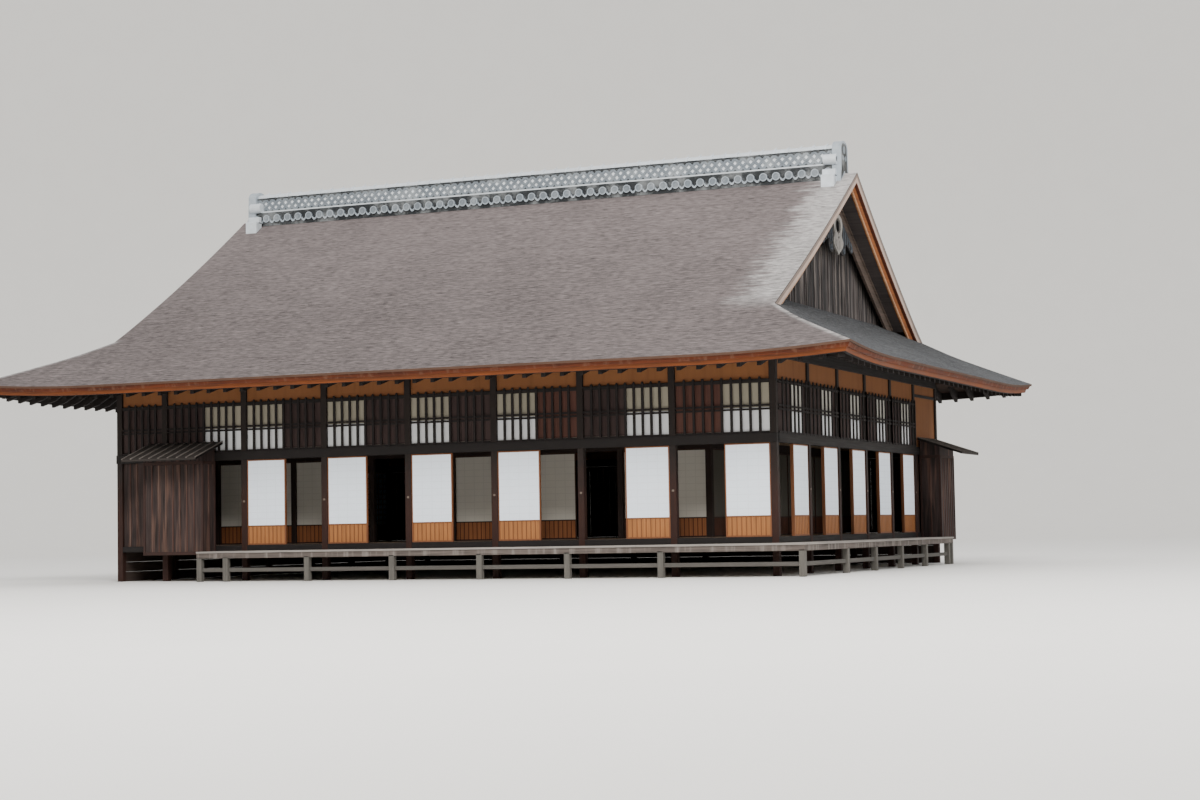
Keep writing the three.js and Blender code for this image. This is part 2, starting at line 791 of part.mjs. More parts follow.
function innerFrieze(room = 0) {
  const farX = -inside + GAP;
  const farY = sideBack - GAP;
  const near = innerY - SCREEN_HALF;
  const left = innerX - SCREEN_HALF;
  const right = innerX + SCREEN_HALF;
  return join([
    panel(farX, right, near, innerY + SCREEN_HALF, LINTEL_HIGH, RAIL_LOW, room),
    panel(left, right, near, farY, LINTEL_HIGH, RAIL_LOW, room),
  ]);
}

// Runs of closed inner screens; between them the row stands open
function innerScreens(room = 0) {
  const low = innerFloor + SLIDE_GAP;
  const run = (left, right) => panel(
    left + innerHalf,
    right - innerHalf,
    innerY - INNER_SCREEN_HALF,
    innerY + INNER_SCREEN_HALF,
    low,
    LINTEL_LOW,
    room,
  );
  const p = frontPosts;
  const middle = (a, b) => (a + b) / 2;
  const front = innerY + innerHalf;
  const back = sideBack - GAP;
  const x0 = innerX - INNER_SCREEN_HALF;
  const x1 = innerX + INNER_SCREEN_HALF;
  const side = panel(x0, x1, front, back, low, LINTEL_LOW, room);
  return [
    ['inner_screens_right', run(p[2], p[1])],
    ['inner_screens_middle', run(middle(p[4], p[5]), middle(p[2], p[3]))],
    ['inner_screens_left', run(p[7], middle(p[5], p[6]))],
    ['inner_screens_side', side],
  ];
}

function floorSlab() {
  return box(
    FLOOR_INSET - wallX,
    wallX - FLOOR_INSET,
    frontY + FLOOR_INSET,
    backY - FLOOR_INSET,
    FLOOR - FLOOR_DEPTH,
    FLOOR,
  ).subtract(postHoles());
}

// Room for the wall posts, which stand a little inside the sills
function postHoles() {
  const holes = [];
  const hole = (x, y) => box(x - half, x + half, y - half, y + half, 0, FLOOR + FLOOR_DEPTH);
  for (const x of frontPosts) {
    holes.push(hole(x, frontY), hole(x, backY));
  }
  for (const y of sidePosts.slice(1, -1)) {
    holes.push(hole(wallX, y), hole(-wallX, y));
  }
  return join(holes);
}

// Sliding doors: which half of its bay each one covers, counted from the corner
const FRONT_DOOR_SIDES = ['right', 'right', 'left', 'left', 'left', 'left', 'left'];
const SIDE_DOOR_BAYS = 5;

function frontDoor(bay) {
  const right = frontPosts[bay] - half - DOOR_SIDE_GAP;
  const left = frontPosts[bay + 1] + half + DOOR_SIDE_GAP;
  const x0 = FRONT_DOOR_SIDES[bay] === 'right' ? right - DOOR_WIDTH : left;
  const y = frontY - DOOR_TRACK;
  const reach = DOOR_THICKNESS / 2;
  return box(
    x0,
    x0 + DOOR_WIDTH,
    y - reach,
    y + reach,
    FLOOR + SLIDE_GAP,
    LINTEL_LOW - DOOR_TOP_GAP,
  );
}

function sideDoor(bay) {
  const far = sidePosts[bay + 1] - half - DOOR_SIDE_GAP;
  const x = wallX + DOOR_TRACK;
  const reach = DOOR_THICKNESS / 2;
  return box(
    x - reach,
    x + reach,
    far - DOOR_WIDTH,
    far,
    FLOOR + SLIDE_GAP,
    LINTEL_LOW - DOOR_TOP_GAP,
  );
}

// Verandah along the front and the right side
const deckY = frontY - DECK_WIDTH;
const deckX = wallX + DECK_WIDTH;
const deckLeft = wallX - FRONT_DECK_LEFT;
const deckBack = frontY + SIDE_DECK_LENGTH;
const wallFaceY = frontY - half;
const wallFaceX = wallX + half;

function verandahDeck() {
  return join([
    box(deckLeft, deckX, deckY, wallFaceY, DECK - DECK_BOARD, DECK),
    box(wallFaceX, deckX, deckY, deckBack, DECK - DECK_BOARD, DECK),
  ]);
}

function verandahFrame() {
  const top = DECK - DECK_BOARD;
  const y0 = deckY + DECK_NOSE;
  const x1 = deckX - DECK_NOSE;
  const yLine = y0 + DECK_POST / 2;
  const xLine = x1 - DECK_POST / 2;
  const tie = DECK_TIE / 2;
  const parts = [
    box(deckLeft, x1, y0, y0 + DECK_EDGE, top - DECK_BEAM, top),
    box(x1 - DECK_EDGE, x1, y0, deckBack, top - DECK_BEAM, top),
    box(deckLeft, xLine, yLine - tie, yLine + tie, TIE_LOW, TIE_HIGH),
    box(xLine - tie, xLine + tie, yLine, deckBack, TIE_LOW, TIE_HIGH),
  ];
  const reach = DECK_POST / 2;
  const stand = (x, y) => {
    parts.push(box(x - reach, x + reach, y - reach, y + reach, 0, top - DECK_NOSE));
  };
  stand(xLine, yLine);
  for (const x of frontPosts.slice(1, 7)) {
    stand(x, yLine);
  }
  stand(deckLeft + reach, yLine);
  for (const y of sidePosts.slice(1, -1)) {
    stand(xLine, y);
  }
  stand(xLine, deckBack - reach);
  const wide = DECK_JOIST / 2;
  const low = top - DECK_JOIST;
  for (const x of frontPosts.slice(1, 7)) {
    parts.push(box(x - wide, x + wide, yLine, wallFaceY - GAP, low, top));
  }
  for (const y of sidePosts.slice(1, -1)) {
    parts.push(box(wallFaceX + GAP, xLine, y - wide, y + wide, low, top));
  }
  return join(parts);
}

// Shutter boxes with a small sloping roof each
const frontBoxRight = deckLeft - GAP;
const frontBoxLeft = frontBoxRight - FRONT_BOX_LENGTH;
const sideBoxFront = deckBack + GAP;
const sideBoxBack = sideBoxFront + SIDE_BOX_LENGTH;
const BOX_WALL = 30;

function frontShutterBox() {
  const y0 = wallFaceY - BOX_PROJECTION;
  const y1 = wallFaceY - GAP;
  const outer = box(frontBoxLeft, frontBoxRight, y0, y1, BOX_LOW, BOX_HIGH);
  const hollow = box(
    frontBoxLeft + BOX_WALL,
    frontBoxRight - BOX_WALL,
    y0 + BOX_WALL,
    y1 + BOX_WALL,
    BOX_LOW + BOX_WALL,
    BOX_HIGH - BOX_WALL,
  );
  return outer.subtract(hollow);
}

function sideShutterBox() {
  const x0 = wallFaceX + GAP;
  const x1 = wallFaceX + BOX_PROJECTION;
  const outer = box(x0, x1, sideBoxFront, sideBoxBack, BOX_LOW, BOX_HIGH);
  const hollow = box(
    x0 - BOX_WALL,
    x1 - BOX_WALL,
    sideBoxFront + BOX_WALL,
    sideBoxBack - BOX_WALL,
    BOX_LOW + BOX_WALL,
    BOX_HIGH - BOX_WALL,
  );
  return outer.subtract(hollow);
}

const PENT_HIGH = 2970;
const PENT_DROP = 280;
const PENT_BOARD = 70;
const PENT_REACH = 1050;
const PENT_SEAT_INSET = 60;
const PENT_WALL_INSET = 15;
const PENT_END = 200;
const PENT_SHORT_END = 150;

// Cross-section of a pent roof: out from the wall, and down onto the box
function pentOutline() {
  const slope = PENT_DROP / PENT_REACH;
  const seat = BOX_HIGH + GAP;
  const lowAt = (out) => PENT_HIGH - PENT_BOARD - slope * out;
  return [
    [GAP, PENT_HIGH],
    [GAP, seat],
    [BOX_PROJECTION - PENT_SEAT_INSET, seat],
    [BOX_PROJECTION - PENT_SEAT_INSET, lowAt(BOX_PROJECTION - PENT_SEAT_INSET)],
    [PENT_REACH, lowAt(PENT_REACH)],
    [PENT_REACH, PENT_HIGH - PENT_DROP],
  ];
}

function frontPent() {
  const points = pentOutline().map(([out, z]) => [wallFaceY - PENT_WALL_INSET - out, z]);
  return prismAlongX(points, frontBoxLeft - PENT_SHORT_END, frontBoxRight + PENT_END);
}

function sidePent() {
  const points = pentOutline().map(([out, z]) => [wallFaceX + PENT_WALL_INSET + out, z]);
  return prismAlongY(points, sideBoxFront - PENT_END, sideBoxBack + PENT_SHORT_END);
}

// Finishes
const SHINGLE = ['#7a7069', 0.95, 0];
const SHINGLE_SIDE = ['#696963', 0.95, 0];
const ORANGE_BOARD = ['#a65527', 0.7, 0];
const DARK_TIMBER = ['#2d231f', 0.75, 0];
const GREY_TIMBER = ['#776e66', 0.85, 0];
const RED_TIMBER = ['#462b25', 0.75, 0];
const PLASTER_OCHRE = ['#86552f', 0.9, 0];
const PAPER = ['#e3e9ee', 0.8, 0];
const PAPER_SHADE = ['#716e66', 0.85, 0];
const TILE = ['#9aa3ab', 0.5, 0];
const GABLE_PLANK = ['#4a413b', 0.85, 0];

const group = new THREE.Group();

function add(name, solid, [color, roughness, metalness]) {
  const material = new THREE.MeshStandardMaterial({ color, roughness, metalness });
  const mesh = new THREE.Mesh(toGeometry(solid), material);
  mesh.name = name;
  group.add(mesh);
}

add('roof_front', mainSlope(sides.front), SHINGLE);
add('roof_back', mainSlope(sides.back), SHINGLE);
add('roof_right', skirt(sides.right), SHINGLE_SIDE);
add('roof_left', skirt(sides.left), SHINGLE_SIDE);
add('eave_fascia', eaveFascia(), ORANGE_BOARD);

const hipCutters = [];
for (const side of [sides.front, sides.back]) {
  for (const sign of [1, -1]) {
    hipCutters.push(hipRafter(side, sign, 2 * GAP));
  }
}

add('soffit_front', soffit(sides.front, OVERHANG, true), DARK_TIMBER);
add('soffit_back', soffit(sides.back, BACK_OVERHANG, true), DARK_TIMBER);
add('soffit_right', cut(soffit(sides.right, OVERHANG, false), hipCutters), DARK_TIMBER);
add('soffit_left', cut(soffit(sides.left, OVERHANG, false), hipCutters), DARK_TIMBER);

for (const [name, sign, side] of [['right', 1, sides.right], ['left', -1, sides.left]]) {
  const cutter = skirtCutter(side);
  add(`gable_wall_${name}`, gableWall(sign), GABLE_PLANK);
  add(`verge_boards_${name}`, vergeBoards(sign, cutter), ORANGE_BOARD);
  add(`bargeboards_${name}`, bargeboards(sign, cutter), GREY_TIMBER);
  add(`ridge_plaque_${name}`, ridgePlaque(sign), TILE);
}

add('ridge_base', ridgeBase(), TILE);
add('ridge_band', box(
  -RIDGE_HALF,
  RIDGE_HALF,
  -RIDGE_BODY_HALF,
  RIDGE_BODY_HALF,
  RIDGE_BASE_TOP,
  RIDGE_BODY_TOP,
), TILE);
add('ridge_cap', ridgeCap(), TILE);

add('front_frame', frontFrame(), DARK_TIMBER);
add('back_frame', backFrame(), DARK_TIMBER);
add('right_frame', sideFrame(1), DARK_TIMBER);
add('left_frame', sideFrame(-1), DARK_TIMBER);
add('front_upper_screens', frontScreens(), PAPER);
add('right_upper_screens', sideScreens(1), PAPER);
add('left_upper_screens', sideScreens(-1), PAPER);
add('front_frieze', frontFrieze(), PLASTER_OCHRE);
add('back_frieze', backFrieze(), PLASTER_OCHRE);
add('right_frieze', sideFrieze(1), PLASTER_OCHRE);
add('left_frieze', sideFrieze(-1), PLASTER_OCHRE);
add('front_end_wall', leftBayWall(), RED_TIMBER);
add('right_end_wall', sideEndWall(), RED_TIMBER);
add('back_shutters', backShutters(), RED_TIMBER);
add('left_screens', leftPanels(), PAPER);
add('floor', floorSlab(), GREY_TIMBER);
add('inner_frame', innerFrame(), DARK_TIMBER);
add('inner_frieze', innerFrieze(), PLASTER_OCHRE);
for (const [name, solid] of innerScreens()) {
  add(name, solid, PAPER_SHADE);
}

FRONT_DOOR_SIDES.forEach((side, bay) => {
  add(`front_door_${bay + 1}`, frontDoor(bay), PAPER);
});
for (let bay = 0; bay < SIDE_DOOR_BAYS; bay += 1) {
  add(`side_door_${bay + 1}`, sideDoor(bay), PAPER);
}

add('verandah_deck', verandahDeck(), GREY_TIMBER);
add('verandah_frame', verandahFrame(), GREY_TIMBER);
add('front_shutter_box', frontShutterBox(), RED_TIMBER);
add('side_shutter_box', sideShutterBox(), RED_TIMBER);
add('front_pent_roof', frontPent(), GREY_TIMBER);
add('side_pent_roof', sidePent(), GREY_TIMBER);

export default group;
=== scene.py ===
"""Dresses a timber residence hall: roof, ridge, gables, lattices, doors, verandah and shutter boxes."""

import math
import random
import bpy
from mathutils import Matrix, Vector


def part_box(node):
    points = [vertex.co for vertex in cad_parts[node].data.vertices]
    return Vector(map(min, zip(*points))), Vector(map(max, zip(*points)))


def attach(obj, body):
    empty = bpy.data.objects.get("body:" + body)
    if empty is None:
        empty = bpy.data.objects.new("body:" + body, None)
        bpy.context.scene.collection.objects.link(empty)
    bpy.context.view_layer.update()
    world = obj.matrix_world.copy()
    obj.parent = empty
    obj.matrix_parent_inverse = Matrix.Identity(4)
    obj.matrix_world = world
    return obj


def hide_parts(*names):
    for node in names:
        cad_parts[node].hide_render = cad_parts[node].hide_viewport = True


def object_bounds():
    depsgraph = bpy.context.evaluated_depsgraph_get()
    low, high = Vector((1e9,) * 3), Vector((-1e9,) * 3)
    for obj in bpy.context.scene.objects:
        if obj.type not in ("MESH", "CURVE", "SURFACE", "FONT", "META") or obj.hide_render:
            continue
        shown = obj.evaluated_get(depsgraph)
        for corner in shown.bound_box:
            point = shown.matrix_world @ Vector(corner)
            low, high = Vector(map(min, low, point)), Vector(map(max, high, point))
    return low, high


bl_info = {
    "name": "Timber Residence Hall",
    "version": (1, 0, 0),
    "blender": (4, 5, 0),
    "location": "View3D > Sidebar > Hall",
    "description": "Builds the shingle roof, tiled ridge, lattices, doors and verandah of a timber hall",
    "category": "Add Mesh",
}

import bmesh
import bpy
from mathutils import Matrix, Vector
from mathutils.geometry import tessellate_polygon

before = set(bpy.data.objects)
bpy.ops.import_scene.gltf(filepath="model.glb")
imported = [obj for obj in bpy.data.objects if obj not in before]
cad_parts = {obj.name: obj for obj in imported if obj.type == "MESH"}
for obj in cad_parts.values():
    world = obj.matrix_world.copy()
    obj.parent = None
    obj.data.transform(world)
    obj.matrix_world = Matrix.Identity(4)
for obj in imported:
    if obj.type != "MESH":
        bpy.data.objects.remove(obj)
cad_low, cad_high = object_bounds()

# Places taken from the frame
deck_low, deck_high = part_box("verandah_deck")
band_low, band_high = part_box("ridge_band")
base_low, base_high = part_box("ridge_base")
cap_low, cap_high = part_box("ridge_cap")
gable_low, gable_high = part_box("gable_wall_right")
inner_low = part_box("inner_frame")[0]

# Plan of the walls in metres, front bays counted from the right corner
FRONT_BAYS = (2.07, 1.95, 1.90, 1.96, 1.97, 1.95, 1.99, 1.16)
SIDE_BAY = 2.0
SIDE_BAYS = 6
OVERHANG = 2.21
BACK_OVERHANG = 0.91
POST = 0.135
FLOOR = 0.75
SILL_LOW = 0.63
LINTEL_LOW = 2.55
LINTEL_HIGH = 2.73
RAIL_LOW = 3.70
RAIL_HIGH = 3.77
END_RAIL_LOW = 3.90
END_RAIL_HIGH = 3.97
PLATE_DEPTH = 0.20
SILL_OUT = 0.06
LINTEL_OUT = 0.08
RAIL_OUT = 0.05

# Roof: height over the distance from the eave, thickness and lifted corners
EAVE_HEIGHT = 4.12
EAVE_SLOPE = 0.484
SLOPE_GAIN = 0.0124
EAVE_EDGE = 0.045
ROOF_THICKNESS = 0.22
THICKENING_RUN = 0.6
CORNER_LIFT = 0.134
LIFT_LENGTH = 3.0
LIFT_RUN = 1.5
GABLE_FOOT = 2.11
GABLE_WALL_INSET = 0.6
VERGE_LEAN_START = 2.6
VERGE_LEAN = 0.1
VERGE_DEPTH = 0.385
SOFFIT_BOARD = 0.025
RAFTER_DEPTH = 0.095
SEAT = 0.0005

EAVE_X = cad_high.x
EAVE_Y = cad_high.y
FRONT_Y = OVERHANG - EAVE_Y
BACK_Y = EAVE_Y - BACK_OVERHANG
WALL_X = EAVE_X - OVERHANG
HALF = POST / 2
INNER_X = WALL_X - FRONT_BAYS[0]
INNER_HALF = 0.06
INNER_Y = inner_low.y + INNER_HALF


# X of the front posts from the right corner to the left one, and Y of the side posts
FRONT_POSTS = [WALL_X - sum(FRONT_BAYS[:i]) for i in range(len(FRONT_BAYS) + 1)]
SIDE_POSTS = [FRONT_Y + SIDE_BAY * i for i in range(SIDE_BAYS + 1)]
LAST_SIDE_POST = SIDE_POSTS[-2]

# Doors of each wall, and the side of each front bay where its upper screen stands white
FRONT_DOORS = 7
SIDE_DOORS = 5
WHITE_SIDES = ("right", "right", "left", "left", "left", "left", "right")
RED_BOARD_BAYS = (0, 2)


def tone(code):
    """A colour for a shader from its usual hex code."""
    parts = [int(code[i : i + 2], 16) / 255 for i in (0, 2, 4)]
    return tuple(c / 12.92 if c <= 0.04045 else ((c + 0.055) / 1.055) ** 2.4 for c in parts)


def colour(label, text, code):
    return bpy.props.FloatVectorProperty(
        name=label, description=text, subtype="COLOR", size=3, min=0.0, max=1.0, default=tone(code)
    )


def length(label, text, size):
    return bpy.props.FloatProperty(name=label, description=text, default=size, min=0.0005, unit="LENGTH")


class HallSizes(bpy.types.PropertyGroup):
    """Sizes of the hall's visible pieces."""

    course: length("Shingle course", "Height of shingle left bare in each course", 0.036)
    shingle_width: length("Shingle width", "Width of one shingle", 0.095)
    rafter_width: length("Rafter width", "Width of a rafter under the eaves", 0.08)
    rafter_pitch: length("Rafter pitch", "Distance from rafter to rafter", 0.394)
    bar_width: length("Lattice bar", "Width of an upright bar in the upper lattice", 0.048)
    stile: length("Door stile", "Width of the upright edge of a sliding door", 0.025)
    kick_height: length("Kick panel", "Height of the boarded foot of a sliding door", 0.395)
    disc_pitch: length("Ridge tile pitch", "Distance from one round ridge tile to the next", 0.29)
    diamond_pitch: length("Ridge diamond pitch", "Distance between diamonds of the ridge band", 0.18)
    plank: length("Plank width", "Width of an upright plank in gables and boxes", 0.17)
    deck_board: length("Deck board", "Width of a verandah board", 0.14)


class HallColours(bpy.types.PropertyGroup):
    """Colours of the hall's finishes."""

    shingle: colour("Shingle", "Weathered shingles", "645c5b")
    shingle_worn: colour("Worn shingle", "Shingles bleached along the verges and hips", "9d9a98")
    # The side slopes' darker shingle colour is painted shade: the same shingles, shown as they look in shade.
    shingle_shade: colour("Side shingle", "Shingles of the side slopes", "4a4b4d")
    verge: colour("Shingle edge", "Cut ends of the shingles along the gables", "b59f92")
    orange: colour("Orange board", "Lower band under the shingle edge", "6a3615")
    rust: colour("Upper eave band", "Band right under the shingle edge", "522510")
    timber: colour("Dark timber", "Posts, beams and lattices", "221b18")
    timber_red: colour("Red timber", "Foot of the posts and the shutter boxes", "322826")
    timber_grey: colour("Grey timber", "Verandah and other bare timber", "5c5954")
    plank: colour("Gable plank", "Upright planks of the gables", "2f2c2c")
    plaster: colour("Plaster", "Ochre plaster under the eaves", "7c5132")
    paper: colour("Paper", "White screen paper", "ecf4fd")
    # The inner paper's greyer colour is painted shade of the corridor in front of it.
    paper_shade: colour("Inner paper", "Screen paper behind the corridor", "ccc8be")
    kick: colour("Kick panel", "Orange boards at the foot of the doors", "9a653a")
    kick_dark: colour("Inner kick panel", "Boards at the foot of the inner screens", "8f5a38")
    tile: colour("Tile", "Smoked clay tiles of the ridge", "98a1a9")
    floor: colour("Studio floor", "Floor and backdrop", "eceae6")


def sizes():
    return bpy.context.scene.hall_sizes


def colours():
    return bpy.context.scene.hall_colours


# Shapes. Smooth pieces stay crisp at edges over the first angle, softened ones are bevelled over the second
CRISP_FROM = math.radians(32)
SOFTEN_FROM = math.radians(50)


class Shape:
    """Corner points and faces of one piece, gathered part by part. look is the number of a finish."""

    def __init__(self):
        self.points = []
        self.faces = []
        self.looks = []

    def add(self, points, faces, look=0):
        start = len(self.points)
        self.points.extend(tuple(point) for point in points)
        self.faces.extend(tuple(start + corner for corner in face) for face in faces)
        self.looks.extend([look] * len(faces))

    def box(self, low, high, look=0):
        x0, y0, z0 = low
        x1, y1, z1 = high
        points = [(x, y, z) for z in (z0, z1) for y in (y0, y1) for x in (x0, x1)]
        faces = [(0, 2, 3, 1), (4, 5, 7, 6), (0, 1, 5, 4), (2, 6, 7, 3), (0, 4, 6, 2), (1, 3, 7, 5)]
        self.add(points, faces, look)

    def sweep(self, rings, look=0, loop=False):
        """Rings of points that follow each other, each with the same number of corners."""
        count = len(rings[0])
        points = [point for ring in rings for point in ring]
        spans = len(rings) if loop else len(rings) - 1
        faces = []
        for i in range(spans):
            a = i * count
            b = (i + 1) % len(rings) * count
            for k in range(count):
                n = (k + 1) % count
                faces.append((a + k, a + n, b + n, b + k))
        if not loop:
            last = (len(rings) - 1) * count
            faces.extend(triangles(rings[0]))
            faces.extend(tuple(last + c for c in face) for face in triangles(rings[-1]))
        self.add(points, faces, look)

    def prism(self, outline, place, look=0):
        """An outline of pairs, carried between the two ends that place(u, v, end) gives."""
        self.sweep([[place(u, v, end) for u, v in outline] for end in (0, 1)], look)

    def grid(self, rows, look=0):
        """A sheet of faces between rows of points."""
        count = len(rows[0])
        points = [point for row in rows for point in row]
        faces = []
        for i in range(len(rows) - 1):
            for k in range(count - 1):
                a = i * count + k
                faces.append((a, a + 1, a + 1 + count, a + count))
        self.add(points, faces, look)

    def piece(self, name, looks, body="hall", stands_for=(), slot=None, smooth=False, soften=0.0):
        """Makes the object with its finishes, rides it on its body and hides the parts it stands for."""
        mesh = bpy.data.meshes.new(name)
        mesh.from_pydata(self.points, [], self.faces)
        for look in looks:
            mesh.materials.append(finish(look))
        mesh.polygons.foreach_set("material_index", self.looks)
        mesh.validate()
        turn_faces_out(mesh)
        if smooth:
            mesh.shade_smooth()
            mesh.set_sharp_from_angle(angle=CRISP_FROM)
        thing = new_object(name, mesh)
        if soften:
            edges = thing.modifiers.new("Softened edges", "BEVEL")
            edges.width = soften
            edges.segments = 1
            edges.limit_method = "ANGLE"
            edges.angle_limit = SOFTEN_FROM
        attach(thing, body)
        if stands_for:
            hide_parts(*stands_for)
        return thing


def new_object(name, data):
    thing = bpy.data.objects.new(name, data)
    bpy.context.scene.collection.objects.link(thing)
    return thing


def triangles(ring):
    """Faces that close the end of a sweep."""
    return [tuple(face) for face in tessellate_polygon([[Vector(point) for point in ring]])]


def turn_faces_out(mesh):
    work = bmesh.new()
    work.from_mesh(mesh)
    bmesh.ops.recalc_face_normals(work, faces=work.faces)
    work.to_mesh(mesh)
    work.free()


def spread(count, low, high):
    """Count + 1 places from low to high, closer together at both ends."""
    middle = (low + high) / 2
    reach = (high - low) / 2
    return [middle - reach * math.cos(math.pi * i / count) for i in range(count + 1)]


def steps(low, high, size):
    """Places from low to high, about size apart."""
    count = max(1, round((high - low) / size))
    return [low + (high - low) * i / count for i in range(count + 1)]


def fitted(run, size):
    """How many pieces of about that size fill a run, and the size that fits."""
    count = round(run / size)
    return count, run / count


# Roof surface
def roof_height(d):
    return EAVE_HEIGHT + EAVE_SLOPE * d + SLOPE_GAIN * d * d


def lift(d, from_hip):
    along = max(0.0, 1 - max(0.0, from_hip) / LIFT_LENGTH)
    up = max(0.0, 1 - d / LIFT_RUN)
    return CORNER_LIFT * along * along * up


def roof_thickness(d):
    return EAVE_EDGE + (ROOF_THICKNESS - EAVE_EDGE) * min(1.0, d / THICKENING_RUN)


def verge_x(d):
    lean = max(0.0, (d - VERGE_LEAN_START) / (EAVE_Y - VERGE_LEAN_START))
    return EAVE_X - GABLE_FOOT + VERGE_LEAN * lean


def soffit_low(d):
    return roof_thickness(d) + SEAT + SOFFIT_BOARD


class RoofSide:
    """One side of the roof: turns a place along it and a distance from its eave into X and Y."""

    def __init__(self, name, half_length, place, wall_run):
        self.name = name
        self.half_length = half_length
        self.place = place
        self.wall_run = wall_run

    def point(self, along, d, drop):
        x, y = self.place(along, d)
        return (x, y, roof_height(d) + lift(d, self.half_length - d - abs(along)) - drop)


FRONT = RoofSide("front", EAVE_X, lambda along, d: (along, d - EAVE_Y), OVERHANG)
RIGHT = RoofSide("right", EAVE_Y, lambda along, d: (EAVE_X - d, along), OVERHANG)
BACK = RoofSide("back", EAVE_X, lambda along, d: (-along, EAVE_Y - d), BACK_OVERHANG)
LEFT = RoofSide("left", EAVE_Y, lambda along, d: (d - EAVE_X, -along), OVERHANG)
ROOF_SIDES = (FRONT, RIGHT, BACK, LEFT)


# Finishes: a short way to add nodes, then the effects that several finishes share
class Web:
    """Adds nodes to a material or to a node group."""

    def __init__(self, tree):
        self.tree = tree

    def node(self, kind, **settings):
        node = self.tree.nodes.new(kind)
        for key, value in settings.items():
            setattr(node, key, value)
        return node

    def feed(self, socket, value):
        if isinstance(value, bpy.types.NodeSocket):
            self.tree.links.new(value, socket)
        elif value is not None:
            socket.default_value = value

    def math(self, operation, *values, clamp=False):
        node = self.node("ShaderNodeMath", operation=operation, use_clamp=clamp)
        for socket, value in zip(node.inputs, values):
            self.feed(socket, value)
        return node.outputs[0]

    def times(self, first, second):
        return self.math("MULTIPLY", first, second)

    def minus(self, first, second):
        return self.math("SUBTRACT", first, second)

    def linear(self, value, factor, start):
        return self.math("MULTIPLY_ADD", value, factor, start)

    def swing(self, value, reach, middle):
        """Noise, which lies around 0.5, turned into a swing around another middle."""
        return self.linear(self.minus(value, 0.5), reach, middle)

    def inward(self, reach, value):
        """How far a place lies inside the two edges at plus and minus reach."""
        return self.minus(reach, self.math("ABSOLUTE", value))

    def smooth(self, value, low, high, start=0.0, end=1.0):
        node = self.node("ShaderNodeMapRange", interpolation_type="SMOOTHSTEP")
        for socket, given in zip(node.inputs, (value, low, high, start, end)):
            self.feed(socket, given)
        return node.outputs[0]

    def mix(self, share, first, second, blend="MIX"):
        node = self.node("ShaderNodeMix", data_type="RGBA", blend_type=blend)
        self.feed(node.inputs[0], share)
        self.feed(node.inputs[6], first)
        self.feed(node.inputs[7], second)
        return node.outputs[2]

    def shade(self, color, value):
        node = self.node("ShaderNodeHueSaturation")
        self.feed(node.inputs["Value"], value)
        self.feed(node.inputs["Color"], color)
        return node.outputs[0]

    def stretch(self, place, by):
        node = self.node("ShaderNodeVectorMath", operation="MULTIPLY")
        self.feed(node.inputs[0], place)
        self.feed(node.inputs[1], by)
        return node.outputs[0]

    def noise(self, place, scale, detail=3.0, roughness=0.55):
        node = self.node("ShaderNodeTexNoise")
        self.feed(node.inputs["Vector"], place)
        node.inputs["Scale"].default_value = scale
        node.inputs["Detail"].default_value = detail
        node.inputs["Roughness"].default_value = roughness
        return node.outputs[0]

    def chance(self, *cells):
        """The same random value all over one cell."""
        node = self.node("ShaderNodeTexWhiteNoise", noise_dimensions="3D")
        self.feed(node.inputs[0], self.vector(*cells))
        return node.outputs[0]

    def vector(self, *parts):
        node = self.node("ShaderNodeCombineXYZ")
        for socket, part in zip(node.inputs, parts):
            self.feed(socket, part)
        return node.outputs[0]

    def parts(self, place):
        node = self.node("ShaderNodeSeparateXYZ")
        self.feed(node.inputs[0], place)
        return node.outputs

    def group(self, tree, **values):
        node = self.node("ShaderNodeGroup", node_tree=tree)
        for label, value in values.items():
            self.feed(node.inputs[label.replace("_", " ")], value)
        return node.outputs


def pigment(code):
    """A colour of the panel by its name, or any other by its hex code."""
    known = code in HallColours.__annotations__
    return (*(getattr(colours(), code) if known else tone(code)), 1.0)


FLOAT = "NodeSocketFloat"
VECTOR = "NodeSocketVector"
COLOR = "NodeSocketColor"


def new_group(name, inputs, outputs):
    """A shader node group with named sockets, and the nodes that hold them."""
    tree = bpy.data.node_groups.new(name, "ShaderNodeTree")
    for label, kind, start in inputs:
        socket = tree.interface.new_socket(name=label, in_out="INPUT", socket_type=kind)
        if start is not None:
            socket.default_value = start
    for label, kind in outputs:
        tree.interface.new_socket(name=label, in_out="OUTPUT", socket_type=kind)
    web = Web(tree)
    return tree, web, web.node("NodeGroupInput").outputs, web.node("NodeGroupOutput").inputs


def wood_grain_group():
    """Streaks and fibres that run the long way of a board, with broad patches of tone."""
    tree, web, given, result = new_group(
        "Wood Grain",
        (
            ("Place", VECTOR, None),
            ("Stretch", VECTOR, (28.0, 28.0, 1.5)),
            ("Colour", COLOR, None),
            ("Contrast", FLOAT, 0.5),
        ),
        (("Colour", COLOR), ("Height", FLOAT), ("Streak", FLOAT)),
    )
    drawn = web.stretch(given["Place"], given["Stretch"])
    streak = web.noise(drawn, 1.0, 4.0)
    fibre = web.noise(drawn, 4.0, 2.0)
    patch = web.noise(given["Place"], 0.9, 2.0)
    swing = web.swing(streak, 2.2, web.minus(patch, 0.5))
    value = web.linear(swing, given["Contrast"], 1.0)
    web.feed(result["Colour"], web.shade(given["Colour"], value))
    web.feed(result["Height"], web.linear(fibre, 0.4, web.times(streak, 0.6)))
    web.feed(result["Streak"], streak)
    return tree


